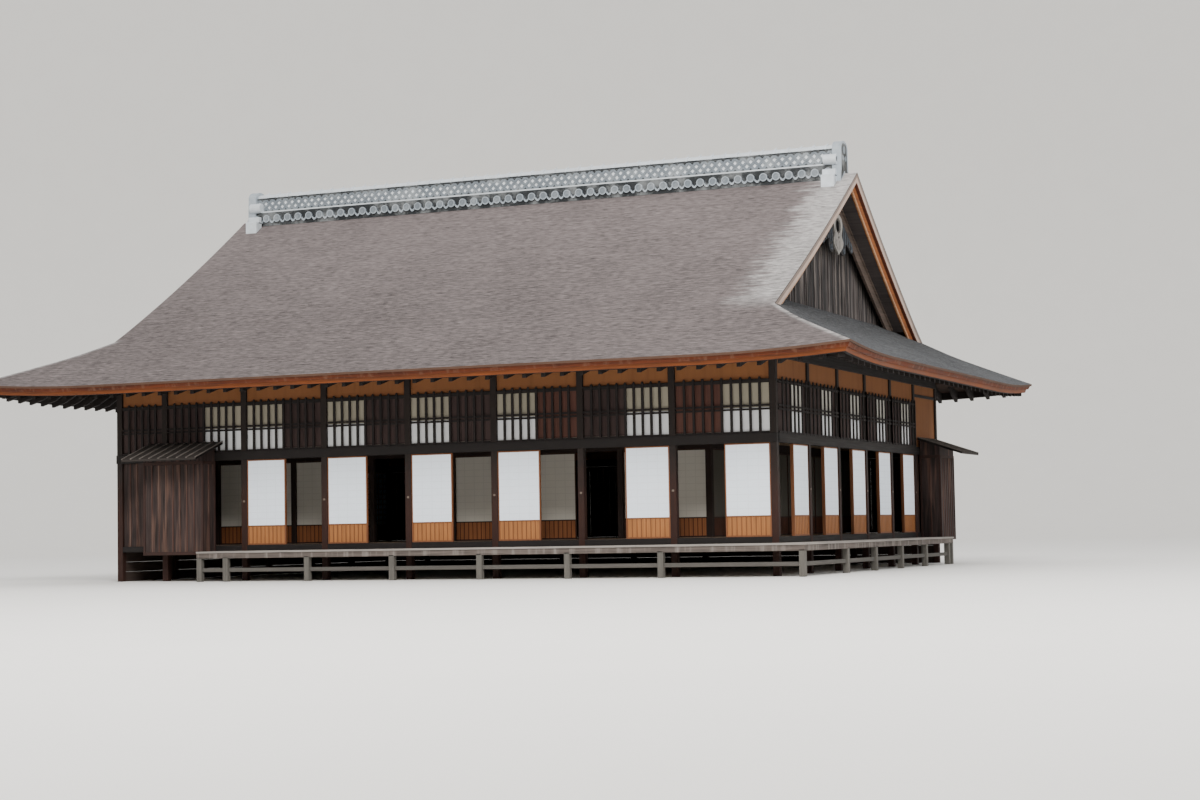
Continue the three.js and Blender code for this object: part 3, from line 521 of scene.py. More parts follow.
def board_joints_group():
    """A tone for each board, and a mask along the joints between boards."""
    tree, web, given, result = new_group(
        "Board Joints",
        (("Across", FLOAT, 0.0), ("Width", FLOAT, 0.15), ("Gap", FLOAT, 0.006)),
        (("Tone", FLOAT), ("Joint", FLOAT)),
    )
    board = web.math("DIVIDE", given["Across"], given["Width"])
    tone_value = web.chance(web.math("FLOOR", board), 3.0, 7.0)
    share = web.math("FRACT", board)
    edge = web.times(web.math("MINIMUM", share, web.minus(1.0, share)), given["Width"])
    web.feed(result["Tone"], tone_value)
    web.feed(result["Joint"], web.smooth(edge, 0.0, given["Gap"], 1.0, 0.0))
    return tree


def weather_group():
    """Rain streaks, blotches and a worn foot."""
    tree, web, given, result = new_group(
        "Weather",
        (("Place", VECTOR, None), ("Foot Low", FLOAT, 0.0), ("Foot High", FLOAT, 1.5)),
        (("Foot", FLOAT), ("Streaks", FLOAT), ("Blotches", FLOAT)),
    )
    height = web.parts(given["Place"])[2]
    ragged = web.noise(given["Place"], 2.3, 4.0)
    wavy = web.swing(ragged, 0.9, height)
    web.feed(result["Foot"], web.smooth(wavy, given["Foot High"], given["Foot Low"]))
    drawn = web.stretch(given["Place"], (9.0, 9.0, 0.7))
    web.feed(result["Streaks"], web.smooth(web.noise(drawn, 1.0, 3.0), 0.48, 0.72))
    web.feed(result["Blotches"], web.smooth(web.noise(given["Place"], 3.1, 5.0, 0.65), 0.42, 0.68))
    return tree


def shingle_group():
    """Courses of thin shingles: a tone for each one, its joints and its raised lower edge."""
    tree, web, given, result = new_group(
        "Shingle Courses",
        (("Along", FLOAT, 0.0), ("Up", FLOAT, 0.0), ("Course", FLOAT, 0.036), ("Width", FLOAT, 0.095)),
        (("Tone", FLOAT), ("Height", FLOAT), ("Edge", FLOAT)),
    )
    rough = web.noise(web.vector(given["Along"], given["Up"], 0.0), 1.7, 4.0)
    up = web.swing(rough, 0.05, given["Up"])
    rows = web.math("DIVIDE", up, given["Course"])
    row = web.math("FLOOR", rows)
    rise = web.math("FRACT", rows)
    shift = web.chance(row, 1.0, 0.0)
    cells = web.math("ADD", web.math("DIVIDE", given["Along"], given["Width"]), web.times(shift, 5.0))
    share = web.math("FRACT", cells)
    joint = web.smooth(web.math("MINIMUM", share, web.minus(1.0, share)), 0.0, 0.05)
    web.feed(result["Tone"], web.chance(web.math("FLOOR", cells), row, 4.0))
    web.feed(result["Edge"], web.smooth(rise, 0.0, 0.22, 1.0, 0.0))
    web.feed(result["Height"], web.times(web.minus(1.0, rise), joint))
    return tree


SHARED = {}


def shared(build):
    """Each effect is built once and used in many finishes."""
    if build not in SHARED:
        SHARED[build] = build()
    return SHARED[build]


def new_finish(name, roughness, metallic=0.0, gloss=0.25):
    """A material with its surface shader, ready for nodes."""
    material = bpy.data.materials.new(name)
    material.use_nodes = True
    material.node_tree.nodes.clear()
    web = Web(material.node_tree)
    surface = web.node("ShaderNodeBsdfPrincipled")
    surface.inputs["Roughness"].default_value = roughness
    surface.inputs["Metallic"].default_value = metallic
    surface.inputs["Specular IOR Level"].default_value = gloss
    end = web.node("ShaderNodeOutputMaterial")
    web.feed(end.inputs["Surface"], surface.outputs[0])
    place = web.node("ShaderNodeTexCoord").outputs["Object"]
    return material, web, surface.inputs, place


def bump(web, surface, height, strength, depth):
    node = web.node("ShaderNodeBump")
    node.inputs["Strength"].default_value = strength
    node.inputs["Distance"].default_value = depth
    web.feed(node.inputs["Height"], height)
    web.feed(surface["Normal"], node.outputs[0])


# Grain: how fast it changes along X, Y and Z in a board that stands, one along X and one that lies either way
UPRIGHT = (26.0, 26.0, 1.3)
ALONG_X = (1.3, 26.0, 26.0)
LEVEL = (1.3, 1.3, 30.0)
JOINT_DARK = (0.01, 0.008, 0.006, 1.0)


def wood(name, color, stretch, contrast, roughness, grey=None, boards=None, foot=None):
    """Timber with grain. grey bleaches it; boards is (axis, width); foot is (colour, low, high)."""
    material, web, surface, place = new_finish(name, roughness)
    drawn = {"Stretch": stretch, "Colour": pigment(color), "Contrast": contrast}
    grain = web.group(shared(wood_grain_group), Place=place, **drawn)
    look = grain["Colour"]
    height = grain["Height"]
    if grey:
        weather = web.group(shared(weather_group), Place=place)
        look = web.mix(web.times(weather["Streaks"], 0.7), look, pigment(grey))
    if foot:
        foot_color, low, high = foot
        worn = web.group(shared(weather_group), Place=place, Foot_Low=low, Foot_High=high)
        grained = web.shade(pigment(foot_color), web.linear(grain["Streak"], 1.2, 0.4))
        look = web.mix(web.times(worn["Foot"], 0.85), look, grained)
    if boards:
        axis, width = boards
        across = web.parts(place)[axis]
        joints = web.group(shared(board_joints_group), Across=across, Width=width, Gap=0.007)
        look = web.shade(look, web.linear(joints["Tone"], 0.55, 0.72))
        look = web.mix(web.times(joints["Joint"], 0.8), look, JOINT_DARK)
        height = web.minus(height, web.times(joints["Joint"], 2.0))
    web.feed(surface["Base Color"], look)
    rough = web.smooth(grain["Streak"], 0.2, 0.8, roughness - 0.1, roughness + 0.1)
    web.feed(surface["Roughness"], rough)
    bump(web, surface, height, 0.5, 0.004)
    return material


def shingles(name, base, worn, side):
    """Weathered shingles. side is True on the right and left slopes, whose courses run along Y; these darken
    towards the gable foot as painted shade of the verges.
    """
    material, web, surface, place = new_finish(name, 0.92)
    x, y = web.parts(place)[:2]
    along, up = (y, web.inward(EAVE_X, x)) if side else (x, web.inward(EAVE_Y, y))
    size = {"Course": sizes().course, "Width": sizes().shingle_width}
    courses = web.group(shared(shingle_group), Along=along, Up=up, **size)
    streak = web.noise(web.vector(web.times(along, 0.8), web.times(up, 15.0), 0.0), 1.0, 5.0)
    fine = web.noise(web.vector(web.times(along, 5.0), web.times(up, 27.0), 2.0), 1.0, 3.0)
    patch = web.noise(place, 0.55, 4.0, 0.6)
    light = web.swing(streak, 0.9, 0.98)
    light = web.swing(fine, 2.0, light)
    light = web.swing(patch, 0.45, light)
    light = web.swing(courses["Tone"], 0.3, light)
    light = web.linear(courses["Edge"], -0.16, light)
    reach = web.inward(EAVE_Y, y)
    # Painted shade: the side slopes darken from the eave up to the gable foot, under the verges. The front
    # and back slopes grow lighter towards the ridge.
    if side:
        light = web.math("ADD", light, web.smooth(up, 0.3, GABLE_FOOT, 0.1, -0.3))
    else:
        light = web.math("ADD", light, web.smooth(reach, 2.0, EAVE_Y, 0.0, 0.3))
    inset = web.minus(EAVE_X - GABLE_FOOT + VERGE_LEAN, x)
    rough = web.minus(web.math("ADD", web.noise(place, 1.4, 3.0), web.times(streak, 1.5)), 1.25)
    band = web.smooth(web.linear(rough, 1.2, inset), 1.15, 0.55)
    band = web.times(band, web.smooth(reach, GABLE_FOOT - 0.3, GABLE_FOOT + 0.5))
    hip = web.minus(web.minus(EAVE_X, reach), web.math("ABSOLUTE", x))
    below = web.smooth(reach, GABLE_FOOT + 0.1, GABLE_FOOT)
    edge = web.times(web.smooth(hip, 0.16, 0.03, 0.0, 0.75), below)
    band = web.math("MAXIMUM", web.times(band, 0.85), edge)
    look = pigment(base) if side else web.mix(band, pigment(base), pigment(worn))
    web.feed(surface["Base Color"], web.shade(look, light))
    height = web.math("ADD", courses["Height"], web.times(fine, 0.5))
    bump(web, surface, height, 0.7, 0.008)
    return material


def shingle_ends(name, color):
    """The cut edge of the roof: many thin layers on each other."""
    material, web, surface, place = new_finish(name, 0.9)
    x, y, z = web.parts(place)
    drop = web.minus(z, web.times(web.inward(EAVE_Y, y), 0.6))
    layers = web.noise(web.vector(web.times(x, 3.0), web.times(y, 3.0), drop), 60.0, 2.0)
    patch = web.noise(place, 2.0, 4.0)
    light = web.linear(layers, 0.5, web.linear(patch, 0.6, 0.45))
    web.feed(surface["Base Color"], web.shade(pigment(color), light))
    bump(web, surface, layers, 0.5, 0.004)
    return material


def plaster(name, color):
    """Smooth lime plaster with a fine tooth and faint stains."""
    material, web, surface, place = new_finish(name, 0.88)
    weather = web.group(shared(weather_group), Place=place)
    tooth = web.noise(place, 90.0, 3.0)
    cloud = web.noise(place, 1.1, 4.0)
    light = web.linear(cloud, 0.4, 0.8)
    light = web.linear(weather["Streaks"], -0.12, light)
    web.feed(surface["Base Color"], web.shade(pigment(color), light))
    web.feed(surface["Roughness"], web.smooth(tooth, 0.2, 0.8, 0.8, 0.95))
    bump(web, surface, tooth, 0.25, 0.0015)
    return material


def paper(name, color, shade=1.0):
    """Screen paper: soft fibres, slight cockle and faint unevenness. shade below 1 darkens it, as painted
    shadow.
    """
    material, web, surface, place = new_finish(name, 0.82)
    fibre = web.noise(web.stretch(place, (1.0, 1.0, 2.6)), 120.0, 3.0)
    cockle = web.noise(place, 7.0, 2.0)
    light = web.linear(fibre, 0.05, web.linear(cockle, 0.05, 0.95 * shade))
    web.feed(surface["Base Color"], web.shade(pigment(color), light))
    web.feed(surface["Roughness"], web.smooth(fibre, 0.2, 0.8, 0.76, 0.88))
    bump(web, surface, web.linear(cockle, 2.0, fibre), 0.2, 0.001)
    return material


def tile(name, color, light_side=1.0):
    """Smoked clay: a dull silver sheen with dark soot and pale lichen."""
    material, web, surface, place = new_finish(name, 0.45, gloss=0.5)
    weather = web.group(shared(weather_group), Place=place)
    soot = web.noise(place, 5.5, 5.0, 0.6)
    grit = web.noise(place, 70.0, 3.0)
    light = web.linear(soot, 0.7, 0.62 * light_side)
    look = web.shade(pigment(color), web.linear(grit, 0.15, light))
    look = web.mix(web.times(weather["Blotches"], 0.3), look, pigment("c3c7c8"))
    web.feed(surface["Base Color"], look)
    web.feed(surface["Metallic"], web.smooth(soot, 0.3, 0.7, 0.1, 0.35))
    web.feed(surface["Roughness"], web.smooth(soot, 0.3, 0.7, 0.4, 0.62))
    bump(web, surface, grit, 0.25, 0.0015)
    return material


def fitting_metal(name):
    """Small hammered metal covers, gone dull."""
    material, web, surface, place = new_finish(name, 0.5, 0.6, 0.5)
    dents = web.noise(place, 150.0, 2.0)
    light = web.linear(dents, 0.6, 0.7)
    web.feed(surface["Base Color"], web.shade(pigment("75685d"), light))
    web.feed(surface["Roughness"], web.smooth(dents, 0.3, 0.7, 0.4, 0.65))
    bump(web, surface, dents, 0.4, 0.001)
    return material


def studio_floor(name, color):
    material, web, surface, place = new_finish(name, 0.9)
    light = web.linear(web.noise(place, 0.6, 2.0), 0.04, 0.98)
    web.feed(surface["Base Color"], web.shade(pigment(color), light))
    return material


MADE = {}


def finish(name):
    """Each finish by name, made when a piece first asks for it."""
    if name not in MADE:
        maker, *given = RECIPES[name]
        MADE[name] = maker(*given)
    return MADE[name]


# Rain has washed the posts red at the foot: a colour, where it is full and where it ends
RED_FOOT = ("2f1a14", 1.2, 2.7)

# The maker of each finish and what it is given: a label, a colour and then what the maker adds
RECIPES = {
    "shingles": (shingles, "Shingles", "shingle", "shingle_worn", False),
    # Side slopes use the darker shingle_shade colour, as painted shade.
    "side_shingles": (shingles, "Side shingles", "shingle_shade", "shingle_worn", True),
    "shingle_ends": (shingle_ends, "Shingle ends", "verge"),
    # The shingle rim is a dark line along the top of the cut edge: painted shadow of the layered shingles.
    "shingle_rim": (shingle_ends, "Shingle rim", "544c48"),
    "shingle_side": (shingle_ends, "Shingle side", "85766d"),
    "shingle_eave": (shingle_ends, "Shingle eave edge", "4d382d"),
    "fascia_upper": (wood, "Upper eave band", "rust", LEVEL, 1.0, 0.75, "684735"),
    "fascia_lower": (wood, "Lower eave band", "orange", LEVEL, 0.7, 0.65),
    "verge_orange": (wood, "Verge board", "854d27", LEVEL, 0.7, 0.65),
    # The pale arris strip is painted highlight along the board's lower edge, with some wear.
    "verge_arris": (wood, "Worn arris", "b78c6b", LEVEL, 0.5, 0.6),
    "verge_soffit": (wood, "Verge soffit", "453f3e", LEVEL, 0.6, 0.85),
    "rust_board": (wood, "Verge lining", "512a1c", LEVEL, 0.5, 0.8),
    "soffit": (wood, "Soffit boards", "33261f", LEVEL, 0.5, 0.85),
    "rafter": (wood, "Rafters", "1d1816", LEVEL, 0.5, 0.8),
    "upright_timber": (wood, "Upright timber", "timber", UPRIGHT, 0.6, 0.72, None, None, RED_FOOT),
    "level_timber": (wood, "Level timber", "1c1817", LEVEL, 0.6, 0.72),
    "lattice": (wood, "Lattice timber", "1f1a19", UPRIGHT, 0.5, 0.75),
    "dark_boards": (wood, "Dark boards", "3f3230", UPRIGHT, 0.7, 0.8),
    "red_boards": (wood, "Red boards", "553830", UPRIGHT, 0.6, 0.78),
    "box_boards": (wood, "Box boards", "timber_red", UPRIGHT, 1.4, 0.8, "62483d"),
    "box_strip": (wood, "Box cover strips", "45302a", UPRIGHT, 0.9, 0.8, "6d594f"),
    "box_post": (wood, "Box posts", "33231f", UPRIGHT, 0.5, 0.78),
    "pent_boards": (wood, "Small roof boards", "332e2b", LEVEL, 0.6, 0.85),
    "pent_ridges": (wood, "Small roof ridges", "645e59", LEVEL, 0.5, 0.85),
    "skirting": (wood, "Skirting boards", "3a302b", LEVEL, 0.5, 0.85),
    "grey_timber": (wood, "Grey timber", "timber_grey", UPRIGHT, 0.45, 0.85),
    "grey_rail": (wood, "Grey rail", "524f4b", LEVEL, 0.4, 0.85),
    "deck_boards": (wood, "Deck boards", "8b857f", LEVEL, 0.5, 0.85),
    "deck_beam": (wood, "Deck beam", "5a524d", LEVEL, 0.8, 0.85, "87807a"),
    "room_floor": (wood, "Room floor", "7a6753", ALONG_X, 0.4, 0.6, None, (1, 0.18)),
    "gable_planks": (wood, "Gable planks", "plank", UPRIGHT, 1.5, 0.85, "6f6764"),
    "gable_planks_pale": (wood, "Bleached planks", "4b4543", UPRIGHT, 1.5, 0.85, "948a84"),
    "bargeboard": (wood, "Bargeboard", "51453e", LEVEL, 0.8, 0.8),
    "carving": (wood, "Pale carving", "8f8b86", UPRIGHT, 0.9, 0.8),
    "carving_dark": (wood, "Dark carving", "2b2a2b", UPRIGHT, 0.5, 0.8),
    "carving_blue": (wood, "Grey carving", "4d5258", UPRIGHT, 0.8, 0.8),
    "kick": (wood, "Kick panel boards", "kick", UPRIGHT, 0.4, 0.6),
    "kick_batten": (wood, "Kick panel battens", "764a2b", UPRIGHT, 0.4, 0.6),
    "kick_dark": (wood, "Inner kick boards", "kick_dark", UPRIGHT, 0.5, 0.7),
    "kick_dark_batten": (wood, "Inner kick battens", "4b2c1e", UPRIGHT, 0.4, 0.7),
    "door_wood": (wood, "Door wood", "74492f", UPRIGHT, 0.4, 0.6),
    "screen_wood": (wood, "Screen wood", "b08d63", UPRIGHT, 0.3, 0.65),
    "inner_wood": (wood, "Inner screen wood", "3a2720", UPRIGHT, 0.4, 0.7),
    "paper": (paper, "Screen paper", "paper"),
    # The side and upper papers are greyer copies of the screen paper: painted shade of the eaves over the
    # upper fields.
    "side_paper": (paper, "Upper paper of the sides", "c6c3ba"),
    "upper_paper": (paper, "Shaded upper paper", "9b9484"),
    "lower_paper": (paper, "Upper screen paper", "dfe0e2"),
    # Paper over the grid bars is a little darker: painted shadow of the bars behind the paper.
    "paper_line": (paper, "Paper over the grid", "paper", 0.93),
    # Inner paper takes the greyer paper_shade colour: painted shade of the corridor.
    "inner_paper": (paper, "Inner paper", "paper_shade"),
    "inner_paper_line": (paper, "Inner paper over the grid", "paper_shade", 0.9),
    # Dim paper is a dark copy of the inner paper: painted shade of the deep room behind the side screens.
    "dim_paper": (paper, "Dim inner paper", "57534b"),
    "inner_plaster": (plaster, "Shaded plaster", "8a7662"),
    "inner_post": (wood, "Inner posts", "2a1f1b", UPRIGHT, 0.5, 0.75),
    "plaster": (plaster, "Ochre plaster", "plaster"),
    "tile": (tile, "Ridge tile", "tile"),
    "tile_pale": (tile, "Pale ridge tile", "c6ccd1"),
    "tile_dark": (tile, "Shaded ridge tile", "1f2326", 0.8),
    "tile_grey": (tile, "Grey ridge tile", "6f777e"),
    "ridge_plaster": (plaster, "Ridge plaster", "dfe4e8"),
    "metal": (fitting_metal, "Dull metal"),
    "floor": (studio_floor, "Studio floor", "floor"),
}


# Roof
def roof_sheet(side, distances, reach_at, columns, rng, course):
    """The top of one slope: rows in pairs, each course a little higher at its lower edge."""
    places = spread(columns, -1.0, 1.0)
    rows = []
    for d in distances:
        sunk = [0.0035 + rng.uniform(-0.0018, 0.0018) for _ in places]
        shift = [rng.uniform(-0.004, 0.004) for _ in places]
        rows.append([side.point(p * reach_at(d), d, 0.0) for p in places])
        upper = []
        for p, drop, slip in zip(places, sunk, shift):
            near = min(max(d + course - 0.002 + slip * 0.5, d + 0.01), EAVE_Y - 0.0004)
            upper.append(side.point(p * reach_at(near), near, drop))
        rows.append(upper)
    return rows


def main_reach(d):
    return EAVE_X - d - 0.0003 if d <= GABLE_FOOT else verge_x(d)


def skirt_reach(d):
    if d <= GABLE_FOOT:
        return EAVE_Y - d - 0.0003
    rise = roof_height(d) + ROOF_THICKNESS - EAVE_HEIGHT
    root = math.sqrt(EAVE_SLOPE * EAVE_SLOPE + 4 * SLOPE_GAIN * rise)
    return EAVE_Y - (root - EAVE_SLOPE) / (2 * SLOPE_GAIN)


VERGE_CUT = 0.015
EDGE_TOP = 0.03
RIM_LOW = 0.11
# Finishes of the underside and edges. The rim finish is a dark line along the top of the cut edge, painted
# shadow of the layered shingles.
SLOPE_LOOKS = ("shingle_ends", "soffit", "shingle_rim", "shingle_side", "shingle_eave")


def roof_slope(side, seed):
    """One slope: the front and back ones reach the ridge, the side ones the foot of the gables."""
    rng = random.Random(seed)
    course = sizes().course
    main = side in (FRONT, BACK)
    top_d = (EAVE_Y if main else GABLE_FOOT + GABLE_WALL_INSET) - 0.0003
    reach_at, columns = (main_reach, 46) if main else (skirt_reach, 40)
    look, slot = ("shingles", "shingle") if main else ("side_shingles", "shingle_shade")
    distances = steps(0.0, top_d - course, course)
    shape = Shape()
    shape.grid(roof_sheet(side, distances, reach_at, columns, rng, course), 0)
    rows = sorted(set(steps(0.0, THICKENING_RUN, 0.1) + steps(THICKENING_RUN, GABLE_FOOT, 0.25)))
    rows += [GABLE_FOOT + 0.0005] + steps(GABLE_FOOT + 0.05, top_d, 0.3)
    rows = [min(d, top_d) for d in rows if d <= top_d + 0.001]
    places = spread(columns, -1.0, 1.0)

    def under(p, d):
        inset = VERGE_CUT if d > GABLE_FOOT and main else 0.0
        return side.point(p * (reach_at(d) - inset), d, roof_thickness(d))

    shape.grid([[under(p, d) for p in places] for d in rows], 2)
    for end in (-1, 1):
        low = [d for d in rows if d <= GABLE_FOOT]
        high = [d for d in rows if d > GABLE_FOOT]
        shape.grid([[side.point(end * reach_at(d), d, 0.0), under(end, d)] for d in low], 0)
        if high:
            # The top 3 cm of the cut edge is a dark line of painted shadow; below it the cut edge comes in
            # two tones.
            step = [side.point(end * (reach_at(d) - 0.004), d, EDGE_TOP) for d in high]
            shape.grid([[side.point(end * reach_at(d), d, 0.0), p] for d, p in zip(high, step)], 3)
            rim = [side.point(end * (reach_at(d) - 0.008), d, RIM_LOW) for d in high]
            shape.grid([[p, q] for p, q in zip(step, rim)], 4)
            shape.grid([[p, under(end, d)] for d, p in zip(high, rim)], 1)
    shape.grid([[side.point(p * reach_at(0.0), 0.0, 0.0), under(p, 0.0)] for p in places], 5)
    name = f"shingle_slope_{side.name}"
    shape.piece(name, (look, *SLOPE_LOOKS), stands_for=[f"roof_{side.name}"], slot=slot, smooth=True)


FASCIA_OUT = 0.03
FASCIA_STEP = 0.11
FASCIA_BAND = 0.118
FASCIA_LOW = 0.19
SOFFIT_START = 0.21


def ring_around(outline, columns):
    """Carries an outline of (distance, height) pairs round all four eaves, with the lifted corners."""
    rings = []
    for side in ROOF_SIDES:
        for p in spread(columns, -1.0, 1.0)[:-1]:
            ring = []
            for d, z in outline:
                reach = side.half_length - d
                x, y = side.place(p * reach, d)
                ring.append((x, y, z + lift(d, reach - abs(p * reach))))
            rings.append(ring)
    return rings


def eave_boards():
    """The thick orange band and the lower band set back under it, with a shadow groove between, and a thin
    dark board over the lower band's inner face as painted shade.
    """
    columns = 40
    thin = roof_height(FASCIA_OUT) - roof_thickness(FASCIA_OUT) - SEAT
    band = EAVE_HEIGHT - FASCIA_BAND
    low = EAVE_HEIGHT - FASCIA_LOW
    seat = roof_height(FASCIA_STEP) - roof_thickness(FASCIA_STEP) - SEAT
    inner = roof_height(SOFFIT_START) - roof_thickness(SOFFIT_START) - SEAT
    upper = Shape()
    outline = [
        (FASCIA_OUT, thin),
        (FASCIA_STEP, seat),
        (FASCIA_STEP + 0.05, seat),
        (FASCIA_STEP + 0.05, band + 0.006),
        (FASCIA_OUT + 0.046, band + 0.006),
        (FASCIA_OUT + 0.04, band),
        (FASCIA_OUT + 0.034, band + 0.008),
    ]
    upper.sweep(ring_around(outline, columns), 0, loop=True)
    place = {"stands_for": ["eave_fascia"], "slot": "orange_board", "smooth": True}
    upper.piece("eave_band_upper", ("fascia_upper",), **place)
    lower = Shape()
    outline = [
        (FASCIA_STEP, band + 0.005),
        (SOFFIT_START, inner),
        (SOFFIT_START, low + 0.004),
        (SOFFIT_START - 0.004, low),
        (FASCIA_STEP + 0.024, low),
        (FASCIA_STEP + 0.02, low + 0.004),
    ]
    lower.sweep(ring_around(outline, columns), 0, loop=True)
    # Painted shade: a thin dark board over the inner face of the lower band, which stays in shade.
    outline = [
        (FASCIA_STEP + 0.03, low - 0.005),
        (SOFFIT_START + 0.012, low - 0.005),
        (SOFFIT_START + 0.012, inner),
        (SOFFIT_START - 0.001, inner),
        (SOFFIT_START - 0.001, low + 0.001),
        (FASCIA_STEP + 0.03, low + 0.001),
    ]
    lower.sweep(ring_around(outline, columns), 1, loop=True)
    lower.piece("eave_band_lower", ("fascia_lower", "rafter"), **place)


def rafter_stations(start, end):
    bends = [d for d in (0.4, THICKENING_RUN, 0.9, 1.2, LIFT_RUN) if start < d < end]
    return [start] + bends + [end]


NOSE_DEPTH = 0.245
SHORTEST_RAFTER = 0.15


def rafters():
    """Rafters side by side under all four eaves, deepest at their noses and shorter beside the hips."""
    width = sizes().rafter_width
    pitch = sizes().rafter_pitch
    start = SOFFIT_START + 0.02
    for side in ROOF_SIDES:
        shape = Shape()
        reach = side.wall_run - start
        count = int((side.half_length - 0.45) / pitch)
        for i in range(-count, count + 1):
            along = i * pitch
            end = min(side.wall_run - HALF - 0.01, side.half_length - abs(along) - 0.1)
            if end - start < SHORTEST_RAFTER:
                continue
            rings = []
            for d in rafter_stations(start, end):
                depth = NOSE_DEPTH + (RAFTER_DEPTH - NOSE_DEPTH) * (d - start) / reach
                top = soffit_low(d) + 0.001
                low = top + depth - 0.004
                corners = ((-0.5, top), (0.5, top), (0.5, low), (-0.5, low))
                rings.append([side.point(along + shift * width, d, drop) for shift, drop in corners])
            shape.sweep(rings, 0)
        shape.piece(f"rafters_{side.name}", ("rafter",), slot="dark_timber")


HIP_HALF = 0.07
HIP_NOSE = 0.26
HIP_STATIONS = (0.24, 0.4, 0.6, 0.9, 1.2, 1.5, 1.9, 2.3)


def hip_rafters():
    """A deeper rafter under each of the four corners of the roof."""
    shape = Shape()
    half = HIP_HALF / math.sqrt(2)
    for along in (-1, 1):
        for across in (-1, 1):
            rings = []
            for t in HIP_STATIONS:
                high = roof_height(t) + lift(t, 0.0) - soffit_low(t) + 0.01
                low = high - HIP_NOSE
                corners = ((-half, high), (half, high), (half, low), (-half, low))
                x, y = EAVE_X - t, EAVE_Y - t
                rings.append([(along * (x + bend), across * (y - bend), z) for bend, z in corners])
            shape.sweep(rings)
    shape.piece("hip_rafters", ("rafter",), slot="dark_timber")


class HALL_OT_roof(bpy.types.Operator):
    """Build the four shingled slopes, their cut edges and the boards and rafters under the eaves"""

    bl_idname = "hall.roof"
    bl_label = "Shingle roof"

    def execute(self, context):
        for side, seed in ((FRONT, 11), (BACK, 12), (RIGHT, 13), (LEFT, 14)):
            roof_slope(side, seed)
        eave_boards()
        rafters()
        hip_rafters()
        for side in ROOF_SIDES:
            dress(f"soffit_{side.name}", "soffit")
        return {"FINISHED"}


def dress(node, look):
    """Gives a CAD node that is shown as it is one of the finishes."""
    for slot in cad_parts[node].material_slots:
        slot.material = finish(look)
# Gables
def gable_strip(shape, sign, outline, foot, look=0):
    """An upside-down V that follows the roof down to its foot. outline(d) gives (x, drop) pairs."""
    rows = steps(foot, EAVE_Y, 0.3)
    path = [(d, -1) for d in rows] + [(d, 1) for d in reversed(rows[:-1])]
    rings = []
    for d, turn in path:
        rings.append([(sign * x, turn * (EAVE_Y - d), roof_height(d) - drop) for x, drop in outline(d)])
    shape.sweep(rings, look)


def foot_distance(x, drop):
    """Where a strip under the roof meets the side slope below the gable."""
    skirt = roof_height(EAVE_X - x) + drop
    root = math.sqrt(EAVE_SLOPE * EAVE_SLOPE + 4 * SLOPE_GAIN * (skirt - EAVE_HEIGHT))
    return (root - EAVE_SLOPE) / (2 * SLOPE_GAIN)


VERGE_INSET = 0.08
VERGE_SLANT = 0.045
VERGE_BOARD = 0.05
VERGE_ARRIS = 0.022
BARGE_OUT = EAVE_X - GABLE_FOOT - 0.455 + 0.06
BARGE_DEPTH = 0.335
BARGE_LOW = VERGE_DEPTH + BARGE_DEPTH
LINING_TOP = ROOF_THICKNESS + SEAT
LINING = (
    (-VERGE_CUT - 0.006, LINING_TOP),
    (-VERGE_CUT - 0.012, ROOF_THICKNESS + 0.02),
    (-VERGE_INSET - 0.012, ROOF_THICKNESS + 0.03),
    (-VERGE_INSET - 0.012, LINING_TOP),
)
VERGE_FACE = (
    (-0.004, ROOF_THICKNESS + 0.028),
    (-VERGE_SLANT, VERGE_DEPTH - VERGE_ARRIS),
    (-VERGE_SLANT - 0.010, VERGE_DEPTH),
    (-VERGE_SLANT - VERGE_BOARD, VERGE_DEPTH),
    (-VERGE_BOARD, LINING_TOP),
    (-0.014, LINING_TOP),
)
# Pale strip along the lower edge of the verge board: painted highlight, with some wear.
ARRIS = (
    (0.006, VERGE_DEPTH - VERGE_ARRIS - 0.012),
    (0.004, VERGE_DEPTH - 0.004),
    (-0.006, VERGE_DEPTH + 0.004),
    (-0.03, VERGE_DEPTH + 0.004),
    (-0.03, VERGE_DEPTH - 0.012),
)
BARGE = (
    (-0.06, VERGE_DEPTH),
    (-0.012, VERGE_DEPTH),
    (-0.012, BARGE_LOW - 0.07),
    (-0.004, BARGE_LOW - 0.06),
    (-0.004, BARGE_LOW),
    (-0.06, BARGE_LOW),
)
BARGE_COVER = (
    (-0.016, VERGE_DEPTH),
    (0.012, VERGE_DEPTH),
    (0.012, VERGE_DEPTH + 0.06),
    (-0.016, VERGE_DEPTH + 0.07),
)


def verge_line(d):
    return verge_x(d) - VERGE_INSET


def arris_line(d):
    return verge_line(d) - VERGE_SLANT


def beside(line, outline):
    """The corners of an outline that is given as (out from line(d), below the roof's top)."""
    return lambda d: [(line(d) + out, drop) for out, drop in outline]


